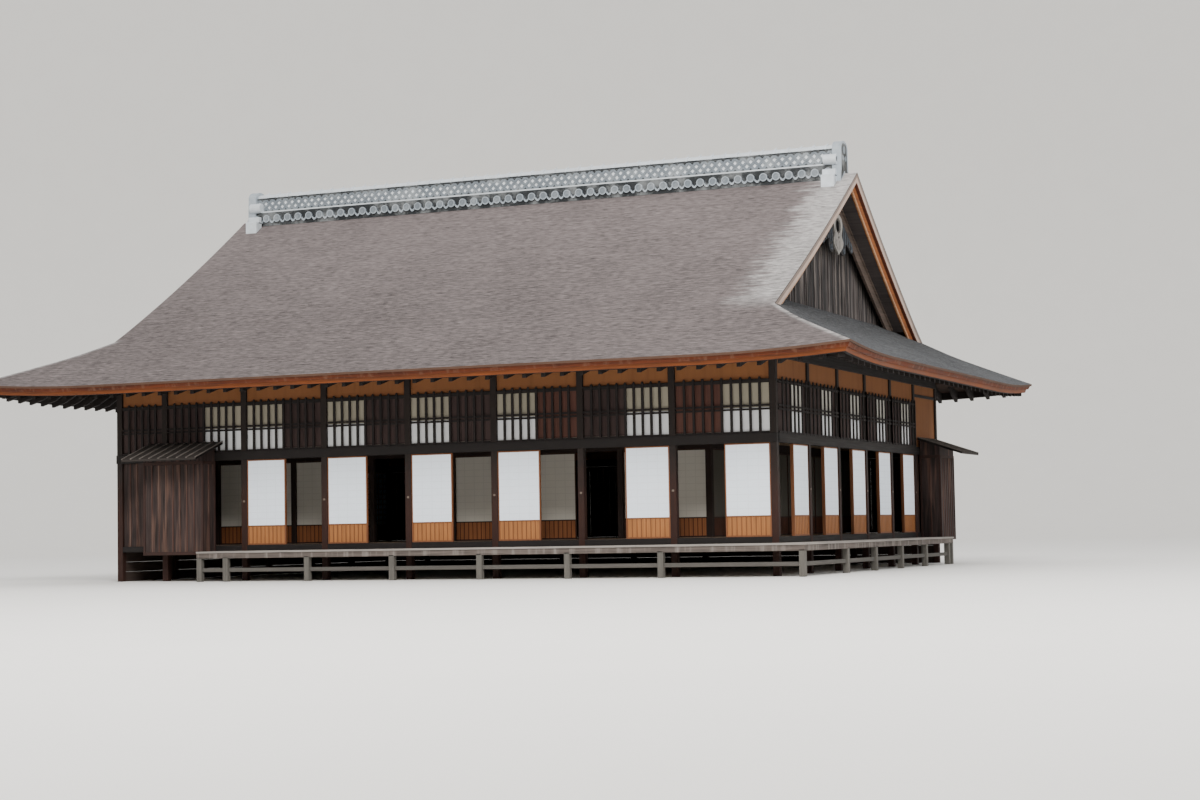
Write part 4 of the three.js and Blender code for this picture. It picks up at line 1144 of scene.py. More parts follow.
def verge_pieces(name, sign):
    """Slanted orange board under the shingle edge, its pale arris strip of painted highlight and wear, and
    the dark boards inside.
    """
    node = f"verge_boards_{name}"
    foot = foot_distance(verge_x(VERGE_LEAN_START), 0.26)
    under = Shape()
    gable_strip(under, sign, beside(verge_x, LINING), foot)
    place = {"stands_for": [node], "slot": "orange_board", "smooth": True}
    under.piece(f"verge_lining_{name}", ("rust_board",), **place)
    board = Shape()
    gable_strip(board, sign, beside(verge_line, VERGE_FACE), foot)
    gable_strip(board, sign, beside(arris_line, ARRIS), foot, 1)
    board.piece(f"verge_board_{name}", ("verge_orange", "verge_arris"), **place)
    inside = Shape()

    def inside_outline(d):
        outer, inner = arris_line(d) - 0.028, gable_high.x + 0.001
        high, low = VERGE_DEPTH - 0.026, VERGE_DEPTH - 0.006
        return [(outer, high), (outer, low), (inner, low), (inner, high)]

    gable_strip(inside, sign, inside_outline, foot_distance(BARGE_OUT, VERGE_DEPTH - 0.02))
    inside.piece(f"verge_soffit_{name}", ("verge_soffit",), stands_for=[node], smooth=True)


def barge_pieces(name, sign):
    """Bargeboard with a sunk face between a cover strip and a lower bead."""
    shape = Shape()
    foot = foot_distance(BARGE_OUT, VERGE_DEPTH + 0.06)
    for outline in (BARGE, BARGE_COVER):
        gable_strip(shape, sign, beside(lambda d: BARGE_OUT, outline), foot)
    node = f"bargeboards_{name}"
    shape.piece(f"bargeboard_{name}", ("bargeboard",), stands_for=[node], slot="grey_timber", smooth=True)


def curve(turn, start, moves, count=6):
    """Points along a run of cubic bends, mirrored for turn -1. Each move is two handles and an end."""
    points = [start]
    for first, second, end in moves:
        a, b, c, d = (Vector(p) for p in (points[-1], first, second, end))
        for i in range(1, count + 1):
            t = i / count
            s = 1 - t
            points.append(tuple(s * s * s * a + 3 * s * s * t * b + 3 * s * t * t * c + t * t * t * d))
    return [(turn * u, v) for u, v in points]


def disc_outline(radius, count=14):
    turns = [math.tau * i / count for i in range(count)]
    return [(radius * math.cos(turn), radius * math.sin(turn)) for turn in turns]


PEAK = roof_height(EAVE_Y)


def scroll(centre, start, turns, radius, width):
    """A flat scroll that winds in to its centre, as an outline."""
    count = 22
    outer = []
    inner = []
    for i in range(count + 1):
        t = i / count
        angle = start + turns * math.tau * t
        reach = radius * (1 - 0.78 * t)
        for edge, far in ((outer, reach), (inner, max(reach - width * (1 - 0.6 * t), 0.004))):
            edge.append((centre[0] + far * math.cos(angle), centre[1] + far * math.sin(angle)))
    return outer, inner


def band_between(shape, outer, inner, place, look, loop=False):
    """A raised band whose two edges are given as runs of pairs."""
    rings = []
    for (u0, v0), (u1, v1) in zip(outer, inner):
        rings.append([place(u0, v0, 0), place(u0, v0, 1), place(u1, v1, 1), place(u1, v1, 0)])
    shape.sweep(rings, look, loop)


def feather(shape, path, width, place, look):
    """A raised band along a path, widest at its middle and pointed at its ends."""
    points = [Vector(p) for p in path]
    outer = []
    inner = []
    for i, point in enumerate(points):
        ahead = points[min(i + 1, len(points) - 1)] - points[max(i - 1, 0)]
        ahead.normalize()
        half = width / 2 * (0.25 + 0.75 * math.sin(math.pi * i / (len(points) - 1)))
        outer.append((point.x - ahead.y * half, point.y + ahead.x * half))
        inner.append((point.x + ahead.y * half, point.y - ahead.x * half))
    band_between(shape, outer, inner, place, look)


# Half outlines of the pendant, as (out from the middle, height over the peak), then the feathers of a fin
PENDANT_START = (0.0, -0.86)
PENDANT_BODY = (
    ((0.10, -0.87), (0.30, -0.93), (0.32, -1.07)),
    ((0.33, -1.18), (0.25, -1.24), (0.24, -1.31)),
    ((0.25, -1.38), (0.36, -1.40), (0.34, -1.50)),
    ((0.32, -1.60), (0.16, -1.64), (0.0, -1.75)),
    ((0.0, -1.60), (0.0, -1.40), (0.0, -1.30)),
    ((0.12, -1.27), (0.17, -1.20), (0.17, -1.12)),
    ((0.17, -1.04), (0.10, -0.96), (0.0, -0.95)),
)
PENDANT_LEAF_START = (0.05, -1.44)
PENDANT_LEAF = (
    ((0.20, -1.42), (0.26, -1.48), (0.22, -1.53)),
    ((0.18, -1.58), (0.10, -1.60), (0.05, -1.64)),
    ((0.07, -1.58), (0.07, -1.50), (0.05, -1.44)),
)
PENDANT_FIN_START = (0.10, -0.80)
PENDANT_FIN = (
    ((0.45, -1.02), (0.80, -1.24), (1.12, -1.43)),
    ((1.17, -1.52), (1.14, -1.62), (1.06, -1.62)),
    ((0.98, -1.62), (0.90, -1.56), (0.84, -1.52)),
    ((0.76, -1.50), (0.70, -1.47), (0.62, -1.45)),
    ((0.66, -1.60), (0.56, -1.73), (0.44, -1.73)),
    ((0.34, -1.73), (0.24, -1.68), (0.18, -1.60)),
)
FEATHERS = (
    ((0.36, -1.00), (0.46, -1.16), (0.45, -1.42), (0.36, -1.56)),
    ((0.50, -1.10), (0.62, -1.26), (0.60, -1.42), (0.50, -1.52)),
    ((0.66, -1.20), (0.76, -1.32), (0.76, -1.42), (0.66, -1.46)),
    ((0.82, -1.30), (0.91, -1.40), (0.91, -1.49), (0.84, -1.50)),
    ((0.98, -1.39), (1.07, -1.48), (1.07, -1.56), (0.99, -1.57)),
)
FEATHER_WIDTH = 0.042
SCROLL_WIDTH = 0.026
BOSS_DROP = -1.375
# Scrolls: middle, radius, where the winding starts and how many turns it has
SCROLLS = ((0.47, -1.62, 0.085, 2.4, 1.3), (1.03, -1.55, 0.055, 2.8, 1.2), (0.21, -1.48, 0.06, 0.6, 1.1))


def pendant(name, sign):
    """Carved pendant at the peak: a pale ring over a tapered body, with dark feathered fins."""

    def place(low, high):
        return lambda u, v, end: (sign * (BARGE_OUT + (high if end else low)), u, PEAK + v)

    shape = Shape()
    for turn in (-1, 1):
        shape.prism(curve(turn, PENDANT_START, PENDANT_BODY), place(-0.002, 0.046), 0)
        shape.prism(curve(turn, PENDANT_LEAF_START, PENDANT_LEAF, 4)[:-1], place(0.04, 0.056), 0)
        shape.prism(curve(turn, PENDANT_FIN_START, PENDANT_FIN), place(-0.02, 0.014), 1)
        for start, *bend in FEATHERS:
            feather(shape, curve(turn, start, (bend,), 8), FEATHER_WIDTH, place(0.01, 0.032), 2)
        for u, v, radius, start, wind in SCROLLS:
            angle = start if turn > 0 else math.pi - start
            height, look = (0.05, 0) if u < 0.3 else (0.034, 2)
            outer, inner = scroll((turn * u, v), angle, turn * wind, radius, SCROLL_WIDTH)
            band_between(shape, outer, inner, place(0.01, height), look)
    for radius, ends, look in ((0.06, (0.0, 0.05), 0), (0.027, (0.05, 0.058), 1)):
        boss = [(u, BOSS_DROP + v) for u, v in disc_outline(radius, 12)]
        shape.prism(boss, place(*ends), look)
    looks = ("carving", "carving_dark", "carving_blue")
    node = f"bargeboards_{name}"
    shape.piece(f"pendant_{name}", looks, stands_for=[node], slot="grey_timber", soften=0.004)


STRIP_THICK = 0.018
STRIP_HALF = 0.016


def gable_planks(name, sign):
    """Upright planks of uneven width and thickness with cover strips here and there."""
    rng = random.Random(21 if sign > 0 else 22)
    shape = Shape()
    bottom = gable_low.z
    inner = gable_low.x
    y = -gable_high.y + 0.02
    end = gable_high.y - 0.02

    def top(at):
        return roof_height(EAVE_Y - abs(at)) - ROOF_THICKNESS - 0.004

    while y < end - 0.02:
        width = sizes().plank * rng.uniform(0.7, 1.2)
        far = min(y + width, end)
        outer = gable_high.x - rng.uniform(0.0, 0.02)
        cuts = [y + 0.003] + ([0.0] if y < 0 < far else []) + [far - 0.003]
        outline = [(cuts[0], bottom), *[(c, max(top(c), bottom + 0.01)) for c in cuts], (cuts[-1], bottom)]
        look = 1 if rng.random() < (0.15 if abs(y) < 1.3 else 0.5) else 0
        shape.prism(outline, lambda u, v, e: (sign * (outer if e else inner), u, v), look)
        if rng.random() < 0.55:
            strip_top = top(far) - 0.03
            if strip_top > bottom + 0.05 and far < end:
                x0, x1 = sorted((sign * outer, sign * (outer + STRIP_THICK)))
                shape.box((x0, far - STRIP_HALF, bottom), (x1, far + STRIP_HALF, strip_top), 1)
        y = far
    looks = ("gable_planks", "gable_planks_pale")
    node = f"gable_wall_{name}"
    shape.piece(f"gable_planks_{name}", looks, stands_for=[node], slot="gable_plank", soften=0.003)


class HALL_OT_gables(bpy.types.Operator):
    """Build the planked gables, verge boards, bargeboards and carved pendants"""

    bl_idname = "hall.gables"
    bl_label = "Gables"

    def execute(self, context):
        for name, sign in (("right", 1), ("left", -1)):
            gable_planks(name, sign)
            verge_pieces(name, sign)
            barge_pieces(name, sign)
            pendant(name, sign)
        return {"FINISHED"}


# Ridge
COURSE_DROP = 0.155
DISC_RADIUS = 0.09
DISC_RIM = 0.07
DISC_BOSS = 0.03
PAN_STEPS = 8


def ridge_course():
    """Round tile ends with a rim and a boss, and the hollow tiles that hang between them."""
    shape = Shape()
    count, pitch = fitted(base_high.x - base_low.x, sizes().disc_pitch)
    height = base_high.z - COURSE_DROP
    face = base_high.y + 0.045

    def at(x, near, far):
        return lambda u, v, end: (x + u, far if end else near, height + v)

    for turn in (-1, 1):
        for i in range(count):
            x = base_low.x + pitch * (i + 0.36)
            for radius, near, far in ((DISC_RADIUS, 0.18, face), (DISC_BOSS, face - 0.014, face + 0.004)):
                shape.prism(disc_outline(radius), at(x, turn * near, turn * far))
            rim = at(x, turn * (face - 0.01), turn * (face + 0.012))
            band_between(shape, disc_outline(DISC_RADIUS), disc_outline(DISC_RIM), rim, 1, loop=True)
            pan = []
            start = x + DISC_RADIUS - 0.012
            width = pitch - 2 * DISC_RADIUS + 0.024
            for k in range(PAN_STEPS + 1):
                t = k / PAN_STEPS
                u = start + width * t
                v = height - 0.02 - 0.065 * math.sin(math.pi * t)
                pan.append([
                    (u, turn * 0.16, v + 0.03),
                    (u, turn * (face - 0.006), v + 0.02),
                    (u, turn * (face - 0.006), v - 0.026),
                    (u, turn * 0.16, v - 0.016),
                ])
            shape.sweep(pan, 1)
    shape.piece("ridge_tile_course", ("tile_grey", "tile"), slot="roof_tile", smooth=True)


LATTICE_TALL = 0.19
BAND_END = 0.06
TILE_WIDE = 0.062
SHELF = 0.034


def ridge_lattice():
    """Tiles laid crosswise on the plastered band, so that two rows of white diamonds stay open."""
    shape = Shape()
    low_x = band_low.x + BAND_END
    count, pitch = fitted(band_high.x - band_low.x - 2 * BAND_END, sizes().diamond_pitch)
    half = LATTICE_TALL / 2
    foot = band_low.z + SHELF
    face = band_high.y

    def raised(turn, reach):
        return lambda u, v, end: (u, turn * (face + (reach if end else -0.002)), v)

    for turn in (-1, 1):
        proud, flat = raised(turn, 0.02), raised(turn, 0.008)
        for i in range(count):
            x = low_x + pitch * i
            for row in range(3):
                z = foot + half * row
                ends, peak = (z + half, z) if row % 2 else (z, z + half)
                middle = (x + pitch / 2, peak)
                for a, b in (((x, ends), middle), (middle, (x + pitch, ends))):
                    shape.prism(leaf_outline(a, b, TILE_WIDE), proud, 0)
            shape.prism([(x, foot), (x + pitch, foot), (x + pitch / 2, foot + half * 0.9)], flat, 1)
            top = foot + 3 * half
            shape.prism([(x - 0.001, top), (x + pitch, top), (x + pitch / 2, top - half * 0.1)], flat, 1)
            if i:
                shape.prism([(x - pitch / 2, top), (x + pitch / 2, top), (x, top - half * 0.9)], flat, 1)
    shape.piece("ridge_lattice", ("tile_grey", "tile_dark"), slot="roof_tile")
    shelf = Shape()
    shelf.box((band_low.x, -face - 0.062, band_low.z), (band_high.x, face + 0.062, band_low.z + SHELF), 0)
    shelf.box((band_low.x, -face - 0.02, band_high.z - 0.024), (band_high.x, face + 0.02, band_high.z), 1)
    shelf.piece("ridge_shelves", ("tile_pale", "tile_dark"), slot="roof_tile", soften=0.005)


def leaf_outline(start, end, width):
    """A pointed leaf between two places."""
    a, b = Vector(start), Vector(end)
    side = Vector((a.y - b.y, b.x - a.x)).normalized() * width / 2
    near, far = a.lerp(b, 0.28), a.lerp(b, 0.72)
    points = [a, near - side, far - side, b, far + side, near + side]
    return [tuple(point) for point in points]


COLLAR = 0.05
COLLAR_PROUD = 0.018


def ridge_caps():
    """Round cap tiles end to end, each with a collar and a small upright knob at its joint."""
    shape = Shape()
    count, pitch = fitted(cap_high.x - cap_low.x, sizes().disc_pitch)
    half = cap_high.y - 0.055
    rise = cap_high.z - cap_low.z - 0.03

    def arch(x, grow):
        points = []
        for k in range(13):
            a = math.pi * k / 12
            up = cap_low.z + 0.012 + (rise - 0.012 + grow) * math.sin(a)
            points.append((x, (half + grow) * math.cos(a), up))
        return points

    for i in range(count):
        x0 = cap_low.x + pitch * i
        shape.sweep([arch(x0 + 0.002, COLLAR_PROUD), arch(x0 + COLLAR, COLLAR_PROUD)], 0)
        shape.sweep([arch(x0 + COLLAR, 0.0), arch(x0 + pitch + 0.001, 0.0)], 0)
        top = cap_low.z + rise + 0.004
        knob = []
        tip = cap_high.z + 0.03
        for z, r, lean in ((top - 0.02, 0.018, 0.0), (top + 0.02, 0.012, 0.004), (tip, 0.007, 0.016)):
            x = x0 + 0.024 + lean
            knob.append([(x + u, v, z) for u, v in disc_outline(r, 6)])
        shape.sweep(knob, 0)
    low = cap_low.z + 0.0005
    shape.box((cap_low.x, -half - 0.012, low), (cap_high.x, half + 0.012, low + 0.016), 1)
    looks = ("tile_pale", "tile_dark")
    shape.piece("ridge_caps", looks, stands_for=["ridge_cap"], slot="roof_tile", smooth=True)


PLAQUE_BACK = 0.09
ROLL_BACK = 0.27


def ridge_plaque(name, sign):
    """End plaque: a round-topped body with a sunk face, side rolls and stepped feet on the slopes."""
    node = f"ridge_plaque_{name}"
    low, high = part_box(node)
    near, far = (low.x, high.x) if sign > 0 else (high.x, low.x)
    top = high.z

    def slope(y):
        return roof_height(EAVE_Y - abs(y))

    def outline(shrink):
        arch = []
        for k in range(15):
            a = math.pi * k / 14
            arch.append(((0.25 - shrink) * math.cos(a), top - 0.17 + (0.17 - shrink) * math.sin(a)))
        foot = slope(0.31) + shrink * 0.5
        legs = [(0.27 - shrink, PEAK + 0.06), (0.31 - shrink, PEAK - 0.02), (0.31 - shrink, foot)]
        return arch + [(-u, v) for u, v in legs] + [(0.0, slope(0.0) + shrink)] + legs[::-1]

    def across(start, end):
        return lambda u, v, e: (end if e else start, u, v)

    shape = Shape()
    shape.prism(outline(0.0), across(near - PLAQUE_BACK * sign, far - 0.012 * sign), 0)
    sunk = outline(0.05)
    recess = far - 0.02 * sign
    band_between(shape, outline(0.0), sunk, across(recess, far), 0, loop=True)
    shape.prism(sunk, across(recess, far - 0.008 * sign), 2)
    for u, v, radius in ((0.0, -0.2, 0.085), (-0.09, -0.38, 0.06), (0.09, -0.38, 0.06)):
        boss = [(u + a, top + v + b) for a, b in disc_outline(radius, 16)]
        shape.prism(boss, across(recess, far - 0.001 * sign), 3)
    back = near - ROLL_BACK * sign
    front = near + 0.02 * sign
    proud = front + 0.003 * sign
    for turn in (-1, 1):
        inset = front - 0.01 * sign
        for radius, count, ends, look in ((0.115, 18, (back, front), 1), (0.06, 14, (inset, proud), 2)):
            roll = [(turn * 0.265 + u, top - 0.42 + v) for u, v in disc_outline(radius, count)]
            shape.prism(roll, across(*ends), look)
        for y0, y1, rise in ((0.29, 0.415, 0.055), (0.40, 0.53, -0.075)):
            foot = [
                (turn * y0, slope(y0) + 0.002),
                (turn * y1, slope(y1) + 0.002),
                (turn * y1, PEAK + rise - 0.02),
                (turn * (y1 - 0.02), PEAK + rise),
                (turn * y0, PEAK + rise),
            ]
            shape.prism(foot, across(back, front), 1)
        corners = ((0.285, 0.1), (0.425, 0.1), (0.425, 0.075), (0.285, 0.075))
        groove = [(turn * y, PEAK - drop) for y, drop in corners]
        shape.prism(groove, across(back - 0.003 * sign, proud), 2)
    looks = ("tile", "tile_pale", "tile_dark", "tile_grey")
    shape.piece(f"ridge_end_{name}", looks, stands_for=[node], slot="roof_tile", soften=0.006)


class HALL_OT_ridge(bpy.types.Operator):
    """Build the tiled ridge: round tile course, crossed tiles, cap tiles and end plaques"""

    bl_idname = "hall.ridge"
    bl_label = "Tiled ridge"

    def execute(self, context):
        ridge_course()
        ridge_lattice()
        ridge_caps()
        for name, sign in (("right", 1), ("left", -1)):
            ridge_plaque(name, sign)
        dress("ridge_base", "tile_dark")
        dress("ridge_band", "ridge_plaster")
        return {"FINISHED"}


# Walls
class WallRun:
    """One wall: turns a place along it and a distance outwards from its middle into X and Y."""

    def __init__(self, name, place):
        self.name = name
        self.place = place

    def box(self, shape, along, out, up, look=0):
        x0, y0 = self.place(along[0], out[0])
        x1, y1 = self.place(along[1], out[1])
        shape.box((min(x0, x1), min(y0, y1), up[0]), (max(x0, x1), max(y0, y1), up[1]), look)


FRONT_WALL = WallRun("front", lambda along, out: (along, FRONT_Y - out))
RIGHT_WALL = WallRun("right", lambda along, out: (WALL_X + out, along))
LEFT_WALL = WallRun("left", lambda along, out: (-WALL_X - out, along))
BACK_WALL = WallRun("back", lambda along, out: (along, BACK_Y + out))


def run_of(wall, low, high):
    """Where a box stands along the front or the right wall, and how far out from its middle."""
    if wall is FRONT_WALL:
        return (low.x, high.x), (FRONT_Y - high.y, FRONT_Y - low.y)
    return (low.y, high.y), (low.x - WALL_X, high.x - WALL_X)


PLATE_HIGH = roof_height(OVERHANG) - roof_thickness(OVERHANG) - SEAT
BACK_PLATE_HIGH = roof_height(BACK_OVERHANG) - roof_thickness(BACK_OVERHANG) - SEAT
FITTING_HEIGHT = 1.65
FITTING_HALF = 0.024
SIDE_HEAD = (4.18, 4.44)


def post(shape, x, y, top, half=HALF):
    shape.box((x - half, y - half, 0.0), (x + half, y + half, top))


def wall_posts(wall, places, top):
    shape = Shape()
    for place in places:
        post(shape, *wall.place(place, 0.0), top)
    name, node = f"{wall.name}_posts", f"{wall.name}_frame"
    shape.piece(name, ("upright_timber",), stands_for=[node], slot="dark_timber", soften=0.007)


def wall_beams(wall, kind, low, high, *beams):
    """Level beams along a wall: each is its distance outwards, its underside and its top."""
    shape = Shape()
    for out, under, top in beams:
        wall.box(shape, (low, high), (-min(out, HALF - 0.004), out), (under, top))
    name, node = f"{wall.name}_{kind}", f"{wall.name}_frame"
    shape.piece(name, ("level_timber",), stands_for=[node], slot="dark_timber", soften=0.006)


def frames():
    wall_posts(FRONT_WALL, FRONT_POSTS, PLATE_HIGH)
    for wall in (RIGHT_WALL, LEFT_WALL):
        wall_posts(wall, SIDE_POSTS[1:-1], PLATE_HIGH - 0.001)
    wall_posts(BACK_WALL, FRONT_POSTS, BACK_PLATE_HIGH)
    sill = (SILL_OUT, SILL_LOW, FLOOR)
    lintel = (LINTEL_OUT, LINTEL_LOW, LINTEL_HIGH)
    rail = (RAIL_OUT, RAIL_LOW, RAIL_HIGH)
    plate = (HALF + 0.006, PLATE_HIGH - PLATE_DEPTH, PLATE_HIGH - 0.0005)
    back_plate = (HALF + 0.006, BACK_PLATE_HIGH - PLATE_DEPTH, BACK_PLATE_HIGH - 0.0005)
    end = WALL_X + HALF + 0.004
    wall_beams(FRONT_WALL, "beams", -end, end, sill, rail, plate)
    lintel_end = WALL_X + LINTEL_OUT
    wall_beams(FRONT_WALL, "lintel", -lintel_end, lintel_end, lintel)
    wall_beams(BACK_WALL, "beams", -end, end, sill, lintel, rail, back_plate)
    near = FRONT_Y - HALF + 0.002
    side_beams = (
        ("sill", near, BACK_Y, sill),
        ("plate", near, EAVE_Y - OVERHANG, plate),
        ("lintel", near + HALF, BACK_Y, lintel),
        ("rail", near, LAST_SIDE_POST, rail),
        ("head", near, BACK_Y, (HALF + 0.02, *SIDE_HEAD)),
        ("end_rail", LAST_SIDE_POST, BACK_Y, (RAIL_OUT, END_RAIL_LOW, END_RAIL_HIGH)),
    )
    for wall in (RIGHT_WALL, LEFT_WALL):
        for beam in side_beams:
            wall_beams(wall, *beam)


FITTING_PROUD = 0.004
FITTING_RISE = 0.04


def fittings():
    """Small dull metal covers on the faces of the front and side posts."""
    shape = Shape()
    out = (HALF - FITTING_PROUD, HALF + FITTING_PROUD)
    up = (FITTING_HEIGHT, FITTING_HEIGHT + FITTING_RISE)
    for wall, posts in ((FRONT_WALL, FRONT_POSTS), (RIGHT_WALL, SIDE_POSTS), (LEFT_WALL, SIDE_POSTS)):
        for place in posts[1:-1]:
            wall.box(shape, (place - FITTING_HALF, place + FITTING_HALF), out, up)
    shape.piece("post_fittings", ("metal",), slot="dark_timber", soften=0.003)


# Upper lattices
FRONT_INTERVALS = 10
LAST_INTERVALS = 6
FRONT_WHITE = 5
SIDE_INTERVALS = 8
SIDE_WHITE = (1.0, 1.72)
MID_RAILS = (3.19, 3.262)
MID_RAIL_HALF = 0.018
FRONT_BARS_OUT = (0.034, 0.064)
SIDE_BARS_OUT = (0.068, 0.096)
PAPER_LOW = 2.765
PAPER_HIGH = 3.705
LEAF_BOARD = 0.22
TIP_LOW = 3.79
TIP_HIGH = 3.82
LEAF_LOOKS = ("dark_boards", "red_boards", "upper_paper", "lower_paper")


def bars(shape, wall, low, high, count, out, ends=False):
    """Upright bars with pointed tips, and the level rails behind them."""
    half = sizes().bar_width / 2
    step = (high - low) / count
    near, far = out
    middle = (near + far) / 2
    deep = (far - near) / 2
    corners = ((-half, -deep), (half, -deep), (half, deep), (-half, deep))
    for k in range(0 if ends else 1, count + 1 if ends else count):
        a = low + step * k
        wall.box(shape, (a - half, a + half), (near, far), (LINTEL_HIGH, TIP_LOW))
        rings = []
        for share, z in ((1.0, TIP_LOW), (0.2, TIP_HIGH)):
            rings.append([(*wall.place(a + u * share, middle + v * share), z) for u, v in corners])
        shape.sweep(rings)
    for z in MID_RAILS:
        wall.box(shape, (low, high), (near - 0.004, middle + 0.003), (z - MID_RAIL_HALF, z + MID_RAIL_HALF))
    wall.box(shape, (low, high), (near - 0.012, middle + 0.004), (RAIL_LOW - 0.004, RAIL_LOW + 0.034))
    wall.box(shape, (low, high), (near - 0.012, middle + 0.006), (LINTEL_HIGH, PAPER_LOW + 0.002))


def screen_leaf(shape, wall, low, high):
    """Paper in two fields: the upper one is greyer, in the shade of the eaves."""
    out = (-0.014, 0.004)
    middle = (MID_RAILS[0] + MID_RAILS[1]) / 2
    wall.box(shape, (low, high), out, (PAPER_LOW - 0.003, middle), 4)
    wall.box(shape, (low, high), out, (middle, PAPER_HIGH), 0)


def board_leaf(shape, wall, low, high, look, rng):
    """A boarded leaf behind the bars, with a row of small pale gaps along its foot."""
    boards = max(1, round((high - low) / LEAF_BOARD))
    width = (high - low) / boards
    up = (PAPER_LOW + 0.012, PAPER_HIGH)
    for k in range(boards):
        out = rng.uniform(-0.004, 0.006)
        start = low + width * k
        wall.box(shape, (start + 0.0015, start + width - 0.0015), (-0.016, out), up, look)


def front_lattice():
    rng = random.Random(31)
    lattice = Shape()
    leaves = Shape()
    for i, side in enumerate(WHITE_SIDES):
        low = FRONT_POSTS[i + 1] + HALF
        high = FRONT_POSTS[i] - HALF
        bars(lattice, FRONT_WALL, low, high, FRONT_INTERVALS, FRONT_BARS_OUT)
        white = (high - low) * FRONT_WHITE / FRONT_INTERVALS
        board = 2 if i in RED_BOARD_BAYS else 1
        if side == "right":
            screen, boards = (high - white, high), (low, high - white)
        else:
            screen, boards = (low, low + white), (low + white, high)
        screen_leaf(leaves, FRONT_WALL, *screen)
        board_leaf(leaves, FRONT_WALL, *boards, board, rng)
        FRONT_WALL.box(leaves, boards, (-0.018, -0.017), (PAPER_LOW - 0.02, PAPER_LOW + 0.03), 3)
    low = FRONT_POSTS[-1] + HALF
    high = FRONT_POSTS[-2] - HALF
    bars(lattice, FRONT_WALL, low, high, LAST_INTERVALS, FRONT_BARS_OUT)
    board_leaf(leaves, FRONT_WALL, low, high, 1, rng)
    lattice.piece("front_lattice", ("lattice",), stands_for=["front_upper_screens"], slot="dark_timber")
    looks = ("upper_paper", *LEAF_LOOKS)
    leaves.piece("front_upper_leaves", looks, stands_for=["front_upper_screens"], slot="paper")


def side_lattice(wall, seed):
    """Close-set bars that run on in front of the side posts, with a strip of paper in each bay."""
    rng = random.Random(seed)
    lattice = Shape()
    leaves = Shape()
    for i in range(SIDE_DOORS):
        low, high = SIDE_POSTS[i], SIDE_POSTS[i + 1]
        near = low + (HALF if i == 0 else 0.0)
        bars(lattice, wall, near, high, SIDE_INTERVALS, SIDE_BARS_OUT, ends=i > 0)
        start, end = (low + reach for reach in SIDE_WHITE)
        screen_leaf(leaves, wall, start, end)
        board_leaf(leaves, wall, low + HALF, start, 1, rng)
        board_leaf(leaves, wall, end, high - HALF, 1, rng)
    node = f"{wall.name}_upper_screens"
    lattice.piece(f"{wall.name}_lattice", ("lattice",), stands_for=[node], slot="dark_timber")
    looks = ("side_paper", *LEAF_LOOKS)
    leaves.piece(f"{wall.name}_upper_leaves", looks, stands_for=[node], slot="paper")


class HALL_OT_frame(bpy.types.Operator):
    """Build the posts, beams and post fittings of the four walls"""

    bl_idname = "hall.frame"
    bl_label = "Posts and beams"

    def execute(self, context):
        frames()
        fittings()
        return {"FINISHED"}


class HALL_OT_lattices(bpy.types.Operator):
    """Build the upper lattices with their paper and boarded leaves"""

    bl_idname = "hall.lattices"
    bl_label = "Upper lattices"

    def execute(self, context):
        front_lattice()
        side_lattice(RIGHT_WALL, 32)
        side_lattice(LEFT_WALL, 33)
        return {"FINISHED"}


# Sliding doors and inner screens
GRID_ROWS = 10
GRID_COLUMNS = 4
GRID_BAR = 0.014
BATTENS = 9
BATTEN = 0.018
DOOR_LOOKS = ("door_wood", "paper", "paper_line", "kick", "kick_batten", "screen_wood")
INNER_LOOKS = ("inner_wood", "inner_paper", "inner_paper_line", "kick_dark", "kick_dark_batten", "inner_wood")
# Dark copies for the side inner screens, paper and foot alike: painted shade of the room behind them.
DIM_LOOKS = ("inner_wood", "dim_paper", "dim_paper", "kick_dark_batten", "kick_dark_batten", "inner_wood")


def leaf(shape, wall, along, out, up):
    """A sliding screen seen from outside: frame, paper over a grid and a boarded foot with battens.

    Finishes by number: 0 frame, 1 paper, 2 paper over the grid, darker as painted shadow of the bars, 3 foot
    boards, 4 battens, 5 grid bars.
    """
    start, end = along
    back, face = out
    foot, head = up
    stile = sizes().stile
    kick = foot + sizes().kick_height
    wall.box(shape, (start, start + stile), out, up, 0)
    wall.box(shape, (end - stile, end), out, up, 0)
    inner = (start + stile, end - stile)
    frame_out = (back + 0.001, face - 0.001)
    wall.box(shape, inner, frame_out, (head - 0.026, head - 0.0005), 0)
    wall.box(shape, inner, frame_out, (foot + 0.0005, foot + 0.03), 0)
    wall.box(shape, inner, frame_out, (kick - 0.012, kick + 0.012), 0)
    sheet = face - 0.003
    wall.box(shape, inner, (sheet - 0.0015, sheet), (kick + 0.011, head - 0.025), 1)
    wide = (inner[1] - inner[0]) / GRID_COLUMNS
    tall = (head - 0.026 - kick - 0.012) / GRID_ROWS
    half = GRID_BAR / 2
    # Strips of paper over the grid bars, darker as painted shadow of the bars behind them, then the bars.
    for k in range(1, GRID_COLUMNS):
        place = inner[0] + wide * k
        span = (place - half, place + half)
        wall.box(shape, span, (sheet - 0.0005, sheet + 0.0005), (kick + 0.012, head - 0.026), 2)
        wall.box(shape, span, (back + 0.006, sheet - 0.001), (kick + 0.012, head - 0.026), 5)
    for k in range(1, GRID_ROWS):
        place = kick + 0.012 + tall * k
        span = (place - half, place + half)
        wall.box(shape, inner, (sheet - 0.0006, sheet + 0.0006), span, 2)
        wall.box(shape, inner, (back + 0.008, sheet - 0.001), span, 5)
    wall.box(shape, inner, (back + 0.01, face - 0.012), (foot + 0.029, kick - 0.011), 3)
    gap = (inner[1] - inner[0]) / BATTENS
    for k in range(BATTENS + 1):
        place = inner[0] + gap * k
        low = max(inner[0], place - BATTEN / 2)
        high = min(inner[1], place + BATTEN / 2)
        wall.box(shape, (low, high), (face - 0.013, face - 0.005), (foot + 0.03, kick - 0.012), 4)


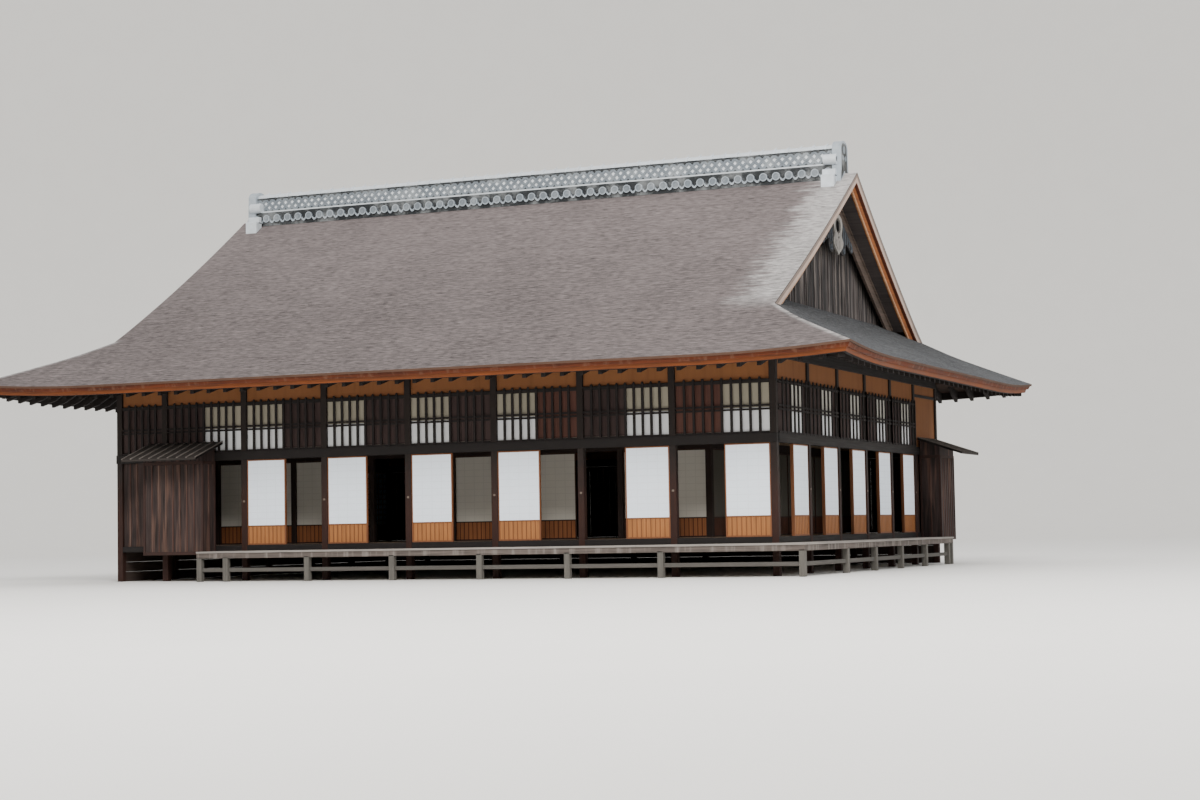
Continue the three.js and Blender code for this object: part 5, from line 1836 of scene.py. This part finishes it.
REAR_GAP = 0.004
REAR_THICK = 0.03


def wall_doors(wall, row, count):
    """The doors of one wall, each on its own body, and the second leaf that stands behind each."""
    rear = Shape()
    for number in range(1, count + 1):
        node = f"{row}_door_{number}"
        low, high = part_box(node)
        along, out = run_of(wall, low, high)
        door = Shape()
        leaf(door, wall, along, out, (low.z, high.z))
        door.piece(f"{row}_sliding_door_{number}", DOOR_LOOKS, body=node, stands_for=[node], slot="paper")
        behind = (out[0] - REAR_GAP - REAR_THICK, out[0] - REAR_GAP)
        leaf(rear, wall, (along[0] + 0.01, along[1] - 0.01), behind, (low.z, high.z))
    rear.piece(f"{row}_rear_leaves", DOOR_LOOKS, slot="paper")


def inner_run(name, wall, start, end, count, node, looks=INNER_LOOKS):
    """Screens side by side between the posts of the inner row."""
    shape = Shape()
    width = (end - start) / count
    for k in range(count):
        shift = 0.006 if k % 2 else -0.006
        along = (start + width * k, start + width * (k + 1))
        leaf(shape, wall, along, (shift - 0.009, shift + 0.009), (0.7525, LINTEL_LOW - 0.002))
    shape.piece(name, looks, stands_for=[node], slot="shaded_paper")


INNER_FRONT = WallRun("inner_front", lambda along, out: (along, INNER_Y - out))
INNER_SIDE = WallRun("inner_side", lambda along, out: (INNER_X + out, along))


def inner_screens():
    runs = (
        ("inner_leaves_right", FRONT_POSTS[2], INNER_X, 2, "inner_screens_right"),
        ("inner_leaves_middle", -1.39, 2.505, 4, "inner_screens_middle"),
        ("inner_leaves_left", FRONT_POSTS[7], -3.35, 3, "inner_screens_left"),
    )
    for name, start, end, count, node in runs:
        inner_run(name, INNER_FRONT, start + INNER_HALF, end - INNER_HALF, count, node)
    inner_run("inner_leaves_side", INNER_SIDE, -3.289, 6.579, 10, "inner_screens_side", DIM_LOOKS)
    dress("inner_frieze", "inner_plaster")
    dress("inner_frame", "inner_post")
    dress("floor", "room_floor")


class HALL_OT_doors(bpy.types.Operator):
    """Build the sliding doors of the front and the right side, with the leaves behind them"""

    bl_idname = "hall.doors"
    bl_label = "Sliding doors"

    def execute(self, context):
        wall_doors(FRONT_WALL, "front", FRONT_DOORS)
        wall_doors(RIGHT_WALL, "side", SIDE_DOORS)
        return {"FINISHED"}


class HALL_OT_screens(bpy.types.Operator):
    """Build the shaded screens of the inner row and finish the room behind the doors"""

    bl_idname = "hall.screens"
    bl_label = "Inner screens"

    def execute(self, context):
        inner_screens()
        return {"FINISHED"}


# Verandah, shutter boxes and the small roofs over them
DECK_LEFT = deck_low.x
DECK_RIGHT = deck_high.x
DECK_FRONT = deck_low.y
DECK_BACK = deck_high.y
DECK_TOP = deck_high.z
DECK_LOW = deck_low.z
DECK_WALL_Y = FRONT_Y - HALF
DECK_WALL_X = WALL_X + HALF
EDGE_LOW = 0.482
POST_LINE = 0.08
DECK_POST = 0.06
TIE_LOW = 0.20
TIE_HIGH = 0.28
JOIST_LOW = 0.51
DECK_END_POST = -4.965
LONGEST_BOARD = 5.0


def deck():
    """Long boards along both walls. The front run passes through at the corner."""
    rng = random.Random(41)
    shape = Shape()
    width = sizes().deck_board

    def lay(low, high, across_low, across_high, along_x):
        rows = steps(across_low, across_high, width)
        for a, b in zip(rows, rows[1:]):
            cuts = [low]
            while cuts[-1] < high - LONGEST_BOARD:
                cuts.append(cuts[-1] + rng.uniform(3.0, 4.2))
            cuts.append(high)
            for start, end in zip(cuts, cuts[1:]):
                top = DECK_TOP - rng.uniform(0.0, 0.004)
                low_corner = (start + 0.001, a + 0.002) if along_x else (a + 0.002, start + 0.001)
                high_corner = (end - 0.001, b - 0.002) if along_x else (b - 0.002, end - 0.001)
                shape.box((*low_corner, DECK_LOW + 0.001), (*high_corner, top), 0)

    lay(DECK_LEFT, DECK_RIGHT, DECK_FRONT, DECK_WALL_Y - 0.0005, True)
    lay(DECK_WALL_Y, DECK_BACK, DECK_WALL_X + 0.0005, DECK_RIGHT, False)
    looks = ("deck_boards",)
    shape.piece("deck_boards", looks, stands_for=["verandah_deck"], slot="grey_timber", soften=0.003)


def verandah_frame():
    """Edge beams and joists, the posts under them and the low tie rail."""
    place = {"stands_for": ["verandah_frame"], "slot": "grey_timber"}
    edge = Shape()
    y = DECK_FRONT + 0.02
    x = DECK_RIGHT - 0.02
    edge.box((DECK_LEFT, y, EDGE_LOW), (x, y + 0.10, DECK_LOW), 0)
    edge.box((x - 0.10, y + 0.10, EDGE_LOW), (x, DECK_BACK, DECK_LOW), 0)
    for at in FRONT_POSTS[1:7]:
        edge.box((at - 0.04, y + 0.1, JOIST_LOW), (at + 0.04, FRONT_Y + 0.02, DECK_LOW))
    for at in SIDE_POSTS[1:6]:
        edge.box((WALL_X - 0.02, at - 0.04, JOIST_LOW), (x - 0.1, at + 0.04, DECK_LOW))
    edge.piece("verandah_beams", ("deck_beam",), soften=0.006, **place)
    posts = Shape()
    line_y = DECK_FRONT + POST_LINE
    line_x = DECK_RIGHT - POST_LINE
    end_y = DECK_BACK - DECK_POST
    places = [(at, line_y) for at in (*FRONT_POSTS[1:7], line_x, DECK_END_POST)]
    places += [(line_x, at) for at in (*SIDE_POSTS[1:6], end_y)]
    for px, py in places:
        post(posts, px, py, EDGE_LOW + 0.03, DECK_POST)
    posts.piece("verandah_posts", ("grey_timber",), soften=0.008, **place)
    tie = Shape()
    tie.box((DECK_END_POST, line_y - 0.02, TIE_LOW), (line_x, line_y + 0.02, TIE_HIGH))
    tie.box((line_x - 0.02, line_y + 0.02, TIE_LOW), (line_x + 0.02, end_y, TIE_HIGH))
    tie.piece("verandah_ties", ("grey_rail",), soften=0.004, **place)


BOX_LOOKS = ("box_boards", "box_strip", "box_post")
PENT_LOOKS = ("pent_boards", "pent_ridges", "lattice", "box_boards")
PENT_THICK = 0.07
BOX_CORNER = 0.05
BOX_RAIL = 0.07


def boarded_face(shape, wall, along, out, up, rng):
    """Upright boards with a cover strip over every joint."""
    back, face = out
    edges = steps(along[0], along[1], sizes().plank)
    for a, b in zip(edges, edges[1:]):
        shift = rng.uniform(0.0, 0.004)
        wall.box(shape, (a + 0.001, b - 0.001), (back, face - 0.012 - shift), up, 0)
    for a in edges[1:-1]:
        wall.box(shape, (a - 0.016, a + 0.016), (face - 0.014, face), up, 1)


def box_sides(low, high):
    """The four sides of a box, each as a wall and the run along it."""
    return {
        "front": (WallRun("box", lambda along, out: (along, low.y - out)), (low.x, high.x)),
        "back": (WallRun("box", lambda along, out: (along, high.y + out)), (low.x, high.x)),
        "left": (WallRun("box", lambda along, out: (low.x - out, along)), (low.y, high.y)),
        "right": (WallRun("box", lambda along, out: (high.x + out, along)), (low.y, high.y)),
    }


def shutter_box(name, boarded, seed):
    """A tall boarded box for the wooden shutters: corner posts, rails and upright boards."""
    low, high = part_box(f"{name}_box")
    sides = box_sides(low, high)
    rng = random.Random(seed)
    shape = Shape()
    corner, rail = BOX_CORNER, BOX_RAIL
    for x0 in (low.x, high.x - corner):
        for y0 in (low.y, high.y - corner):
            shape.box((x0, y0, low.z), (x0 + corner, y0 + corner, high.z), 2)
    for z0, z1 in ((low.z, low.z + rail), (high.z - rail, high.z)):
        shape.box((low.x + 0.004, low.y + 0.004, z0 + 0.001), (high.x - 0.004, high.y - 0.004, z1 - 0.001), 2)
    shape.box((low.x + 0.03, low.y + 0.03, low.z + 0.01), (high.x - 0.03, high.y - 0.03, high.z - 0.01), 0)
    for side in boarded:
        wall, along = sides[side]
        span = (along[0] + corner, along[1] - corner)
        boarded_face(shape, wall, span, (-0.03, 0.0), (low.z + rail, high.z - rail), rng)
    shape.piece(f"{name}_boards", BOX_LOOKS, stands_for=[f"{name}_box"], slot="red_timber", soften=0.004)


def pent_roof(name, wall, start, along, ends, reach, node, seat):
    """A small board roof on boarded cheeks. seat is where the cheeks stand: (low, high, out, z)."""
    high_z, low_z = ends
    rng = random.Random(44)
    shape = Shape()
    slope = (low_z - high_z) / reach

    def height(out):
        return high_z + slope * (out - start)

    def slab(a0, a1, o0, o1, top_drop, depth, look):
        outline = ((o0, top_drop), (o1, top_drop), (o1, depth), (o0, depth))
        shape.prism(outline, lambda o, drop, end: (*wall.place(a1 if end else a0, o), height(o) - drop), look)

    end = start + reach
    slab(along[0], along[1], start, end - 0.004, 0.03, PENT_THICK - 0.012, 0)
    edges = steps(along[0], along[1], 0.24)
    for a, b in zip(edges, edges[1:]):
        slab(a + 0.001, b - 0.001, start, end, 0.018 + rng.uniform(0.0, 0.004), 0.031, 0)
    for a in edges:
        low = max(along[0], a - 0.018)
        high = min(along[1], a + 0.018)
        slab(low, high, start, end, 0.0, 0.02, 1)
    slab(along[0], along[1], end - 0.04, end - 0.006, 0.029, PENT_THICK, 2)
    for a in (along[0], along[1] - 0.03):
        slab(a, a + 0.03, start, end - 0.01, 0.029, PENT_THICK, 2)
    low, high, out, z = seat
    under = PENT_THICK - 0.001
    outline = ((start, z), (out, z), (out, height(out) - under), (start, height(start) - under))
    shape.prism(outline, lambda o, up, end: (*wall.place(high if end else low, o), up), 3)
    shape.piece(name, PENT_LOOKS, stands_for=[node], slot="dark_timber", soften=0.003)


def pent_roofs():
    for name, wall in (("front", FRONT_WALL), ("side", RIGHT_WALL)):
        node = f"{name}_pent_roof"
        low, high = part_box(node)
        along, out = run_of(wall, low, high)
        box_low, box_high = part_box(f"{name}_shutter_box")
        box_along, box_out = run_of(wall, box_low, box_high)
        seat = (box_along[0] + 0.005, box_along[1] - 0.005, box_out[1] - 0.012, box_high.z - 0.002)
        reach = out[1] - out[0]
        ends = (high.z, low.z + PENT_THICK)
        pent_roof(f"{name}_board_roof", wall, out[0], along, ends, reach, node, seat)


def wall_panels():
    """Plaster fields and the boarded walls that have no doors."""
    for side in ("front", "right", "left", "back"):
        dress(f"{side}_frieze", "plaster")
    rng = random.Random(45)
    for wall in (FRONT_WALL, RIGHT_WALL):
        node = f"{wall.name}_end_wall"
        low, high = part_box(node)
        shape = Shape()
        boarded_face(shape, wall, *run_of(wall, low, high), (low.z, high.z), rng)
        name = f"{wall.name}_end_boards"
        shape.piece(name, BOX_LOOKS[:2], stands_for=[node], slot="red_timber", soften=0.003)


SHUTTER_LAP = 0.02
SHUTTER_STILE = 0.04
SHUTTER_RAIL = 0.048
SHUTTER_RAILS = (FLOOR + 0.001, 1.25, 1.9, LINTEL_LOW - 0.05)
SCREEN_LAP = 0.015
SKIRTING_BOARDS = ((0.0, 0.21), (0.212, 0.42), (0.422, SILL_LOW + 0.001))


def back_and_left():
    """Boarded shutters along the back wall and paper screens along the left one."""
    rng = random.Random(46)
    shutters = Shape()
    frame_up = (FLOOR + 0.001, LINTEL_LOW - 0.001)
    board_up = (FLOOR + 0.02, LINTEL_LOW - 0.02)
    for i in range(len(FRONT_BAYS)):
        low, high = FRONT_POSTS[i + 1] + HALF, FRONT_POSTS[i] - HALF
        middle = (low + high) / 2
        for a, b, out in ((low, middle + SHUTTER_LAP, 0.018), (middle - SHUTTER_LAP, high, -0.002)):
            for start in (a, b - SHUTTER_STILE):
                BACK_WALL.box(shutters, (start, start + SHUTTER_STILE), (out - 0.02, out), frame_up, 2)
            inside = (a + SHUTTER_STILE, b - SHUTTER_STILE)
            for z in SHUTTER_RAILS:
                BACK_WALL.box(shutters, inside, (out - 0.018, out - 0.001), (z, z + SHUTTER_RAIL), 2)
            edges = steps(*inside, sizes().plank)
            for e, f in zip(edges, edges[1:]):
                depth = (out - 0.018, out - 0.008 - rng.uniform(0.0, 0.003))
                BACK_WALL.box(shutters, (e + 0.001, f - 0.001), depth, board_up, 0)
    node = "back_shutters"
    shutters.piece("back_shutter_boards", BOX_LOOKS, stands_for=[node], slot="red_timber", soften=0.002)
    screens = Shape()
    for i in range(SIDE_BAYS):
        low, high = SIDE_POSTS[i] + HALF, SIDE_POSTS[i + 1] - HALF
        middle = (low + high) / 2
        up = (FLOOR + 0.0005, LINTEL_LOW - 0.001)
        leaf(screens, LEFT_WALL, (low, middle + SCREEN_LAP), (-0.0005, 0.0195), up)
        leaf(screens, LEFT_WALL, (middle - SCREEN_LAP, high), (-0.0195, -0.0015), up)
    screens.piece("left_leaves", DOOR_LOOKS, stands_for=["left_screens"], slot="paper")


def skirting():
    """Dark boards from the ground to the sill under the back and left walls."""
    rng = random.Random(47)
    for wall, places in ((BACK_WALL, FRONT_POSTS[::-1]), (LEFT_WALL, SIDE_POSTS)):
        shape = Shape()
        for low, high in zip(places, places[1:]):
            for up in SKIRTING_BOARDS:
                out = 0.014 - rng.uniform(0.0, 0.004)
                wall.box(shape, (low + HALF - 0.002, high - HALF + 0.002), (-0.014, out), up, 0)
        name, node = f"{wall.name}_skirting", f"{wall.name}_frame"
        shape.piece(name, ("skirting",), stands_for=[node], slot="dark_timber", soften=0.002)


class HALL_OT_panels(bpy.types.Operator):
    """Finish the plaster fields and build the boarded end walls, back shutters and left screens"""

    bl_idname = "hall.panels"
    bl_label = "Wall panels"

    def execute(self, context):
        wall_panels()
        back_and_left()
        skirting()
        return {"FINISHED"}


class HALL_OT_verandah(bpy.types.Operator):
    """Build the verandah: deck boards, edge beams, posts and the low tie rail"""

    bl_idname = "hall.verandah"
    bl_label = "Verandah"

    def execute(self, context):
        deck()
        verandah_frame()
        return {"FINISHED"}


class HALL_OT_boxes(bpy.types.Operator):
    """Build the boarded shutter boxes and the small board roofs over them"""

    bl_idname = "hall.boxes"
    bl_label = "Shutter boxes"

    def execute(self, context):
        shutter_box("front_shutter", ("front", "right", "left"), 42)
        shutter_box("side_shutter", ("right", "front", "back"), 43)
        pent_roofs()
        return {"FINISHED"}


# Studio
CAMERA_PLACE = (20.8935, -45.1719, 0.9437)
CAMERA_YAW = math.radians(23.145)
CAMERA_PITCH = math.radians(3.371)
CAMERA_ROLL = math.radians(-1.029)
CAMERA_LENS = 65.90
FLOOR_LEVEL = -0.002
FLOOR_SECTORS = 64
FLAT_REACH = 65.0
CURVE_START = 75.0
CURVE_RADIUS = 25.0
CURVE_STEPS = 8
WALL_RISE = 16.0


def camera():
    """The photograph's viewpoint, as it was solved from posts, eaves, ridge and ground line."""
    yaw, pitch, roll = CAMERA_YAW, CAMERA_PITCH, CAMERA_ROLL
    ahead = Vector((-math.sin(yaw) * math.cos(pitch), math.cos(yaw) * math.cos(pitch), math.sin(pitch)))
    level = Vector((math.cos(yaw), math.sin(yaw), 0.0))
    upright = level.cross(ahead)
    right = math.cos(roll) * level + math.sin(roll) * upright
    up = math.cos(roll) * upright - math.sin(roll) * level
    data = bpy.data.cameras.new("photo_camera")
    data.lens = CAMERA_LENS
    data.sensor_width = 36.0
    data.sensor_fit = "HORIZONTAL"
    data.clip_end = 600.0
    thing = new_object("photo_camera", data)
    turned = Matrix((right, up, -ahead)).transposed().to_4x4()
    thing.matrix_world = Matrix.Translation(CAMERA_PLACE) @ turned
    bpy.context.scene.camera = thing


def floor_and_backdrop():
    """A round pale floor that curves up into a low backdrop on every side."""
    points = [(0.0, 0.0, FLOOR_LEVEL)]
    rings = [(FLAT_REACH * k / 3, FLOOR_LEVEL) for k in range(1, 4)] + [(CURVE_START, FLOOR_LEVEL)]
    for k in range(1, CURVE_STEPS + 1):
        a = math.pi / 2 * k / CURVE_STEPS
        rise = CURVE_RADIUS * (1 - math.cos(a))
        rings.append((CURVE_START + CURVE_RADIUS * math.sin(a), rise + FLOOR_LEVEL))
    rings.append((CURVE_START + CURVE_RADIUS, CURVE_RADIUS + WALL_RISE))
    count = FLOOR_SECTORS
    faces = []
    for reach, height in rings:
        for k in range(count):
            a = math.tau * k / count
            points.append((reach * math.cos(a), reach * math.sin(a), height))
    for k in range(count):
        faces.append((0, 1 + k, 1 + (k + 1) % count))
    for i in range(len(rings) - 1):
        for k in range(count):
            a = 1 + i * count
            n = (k + 1) % count
            faces.append((a + k, a + count + k, a + count + n, a + n))
    mesh = bpy.data.meshes.new("studio_floor")
    mesh.from_pydata(points, [], faces)
    mesh.materials.append(finish("floor"))
    turn_faces_out(mesh)
    mesh.shade_smooth()
    new_object("studio_floor", mesh)


def soft_light(name, place, target, size, power, tint):
    data = bpy.data.lights.new(name, "AREA")
    data.shape = "DISK"
    data.size = size
    data.energy = power
    data.color = tint
    aim = (Vector(target) - Vector(place)).to_track_quat("-Z", "Y")
    new_object(name, data).matrix_world = Matrix.Translation(place) @ aim.to_matrix().to_4x4()


def sky_glow():
    """Even light from all around, a little brighter from above."""
    world = bpy.data.worlds.new("studio_light")
    world.use_nodes = True
    bpy.context.scene.world = world
    web = Web(world.node_tree)
    back = world.node_tree.nodes["Background"]
    normal = web.node("ShaderNodeTexCoord").outputs["Generated"]
    parts = web.parts(normal)
    height = web.smooth(parts[2], -0.15, 0.7)
    web.feed(back.inputs["Color"], web.mix(height, (0.80, 0.80, 0.80, 1.0), (1.0, 1.0, 1.0, 1.0)))
    back.inputs["Strength"].default_value = 1.3


class HALL_OT_studio(bpy.types.Operator):
    """Set the camera at the photograph's viewpoint, the pale floor and the soft studio light"""

    bl_idname = "hall.studio"
    bl_label = "Studio"

    def execute(self, context):
        camera()
        floor_and_backdrop()
        sky_glow()
        soft_light("key_light", (16.0, -34.0, 26.0), (0.0, -4.0, 4.0), 16.0, 16500.0, (1.0, 0.98, 0.955))
        soft_light("side_light", (36.0, 0.0, 16.0), (6.0, 0.0, 3.0), 14.0, 2400.0, (0.93, 0.96, 1.0))
        return {"FINISHED"}


# Panel, registration and the run itself
class HALL_PT_panel(bpy.types.Panel):
    """Lists the pieces of the hall with their sizes and colours"""

    bl_idname = "HALL_PT_panel"
    bl_label = "Timber Residence Hall"
    bl_space_type = "VIEW_3D"
    bl_region_type = "UI"
    bl_category = "Hall"

    def draw(self, context):
        layout = self.layout
        for operator in OPERATORS:
            layout.operator(operator.bl_idname)
        for title, group in (("Sizes", context.scene.hall_sizes), ("Colours", context.scene.hall_colours)):
            box = layout.box()
            box.label(text=title)
            for name in type(group).__annotations__:
                box.prop(group, name)


OPERATORS = (
    HALL_OT_roof,
    HALL_OT_gables,
    HALL_OT_ridge,
    HALL_OT_frame,
    HALL_OT_lattices,
    HALL_OT_doors,
    HALL_OT_screens,
    HALL_OT_panels,
    HALL_OT_verandah,
    HALL_OT_boxes,
    HALL_OT_studio,
)
CLASSES = (HallSizes, HallColours, *OPERATORS, HALL_PT_panel)


def register():
    for kind in CLASSES:
        bpy.utils.register_class(kind)
    bpy.types.Scene.hall_sizes = bpy.props.PointerProperty(type=HallSizes)
    bpy.types.Scene.hall_colours = bpy.props.PointerProperty(type=HallColours)


def unregister():
    del bpy.types.Scene.hall_colours
    del bpy.types.Scene.hall_sizes
    for kind in reversed(CLASSES):
        bpy.utils.unregister_class(kind)


def main():
    register()
    bpy.ops.hall.roof()
    bpy.ops.hall.gables()
    bpy.ops.hall.ridge()
    bpy.ops.hall.frame()
    bpy.ops.hall.lattices()
    bpy.ops.hall.doors()
    bpy.ops.hall.screens()
    bpy.ops.hall.panels()
    bpy.ops.hall.verandah()
    bpy.ops.hall.boxes()
    bpy.ops.hall.studio()
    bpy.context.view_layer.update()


if __name__ == "__main__":
    main()
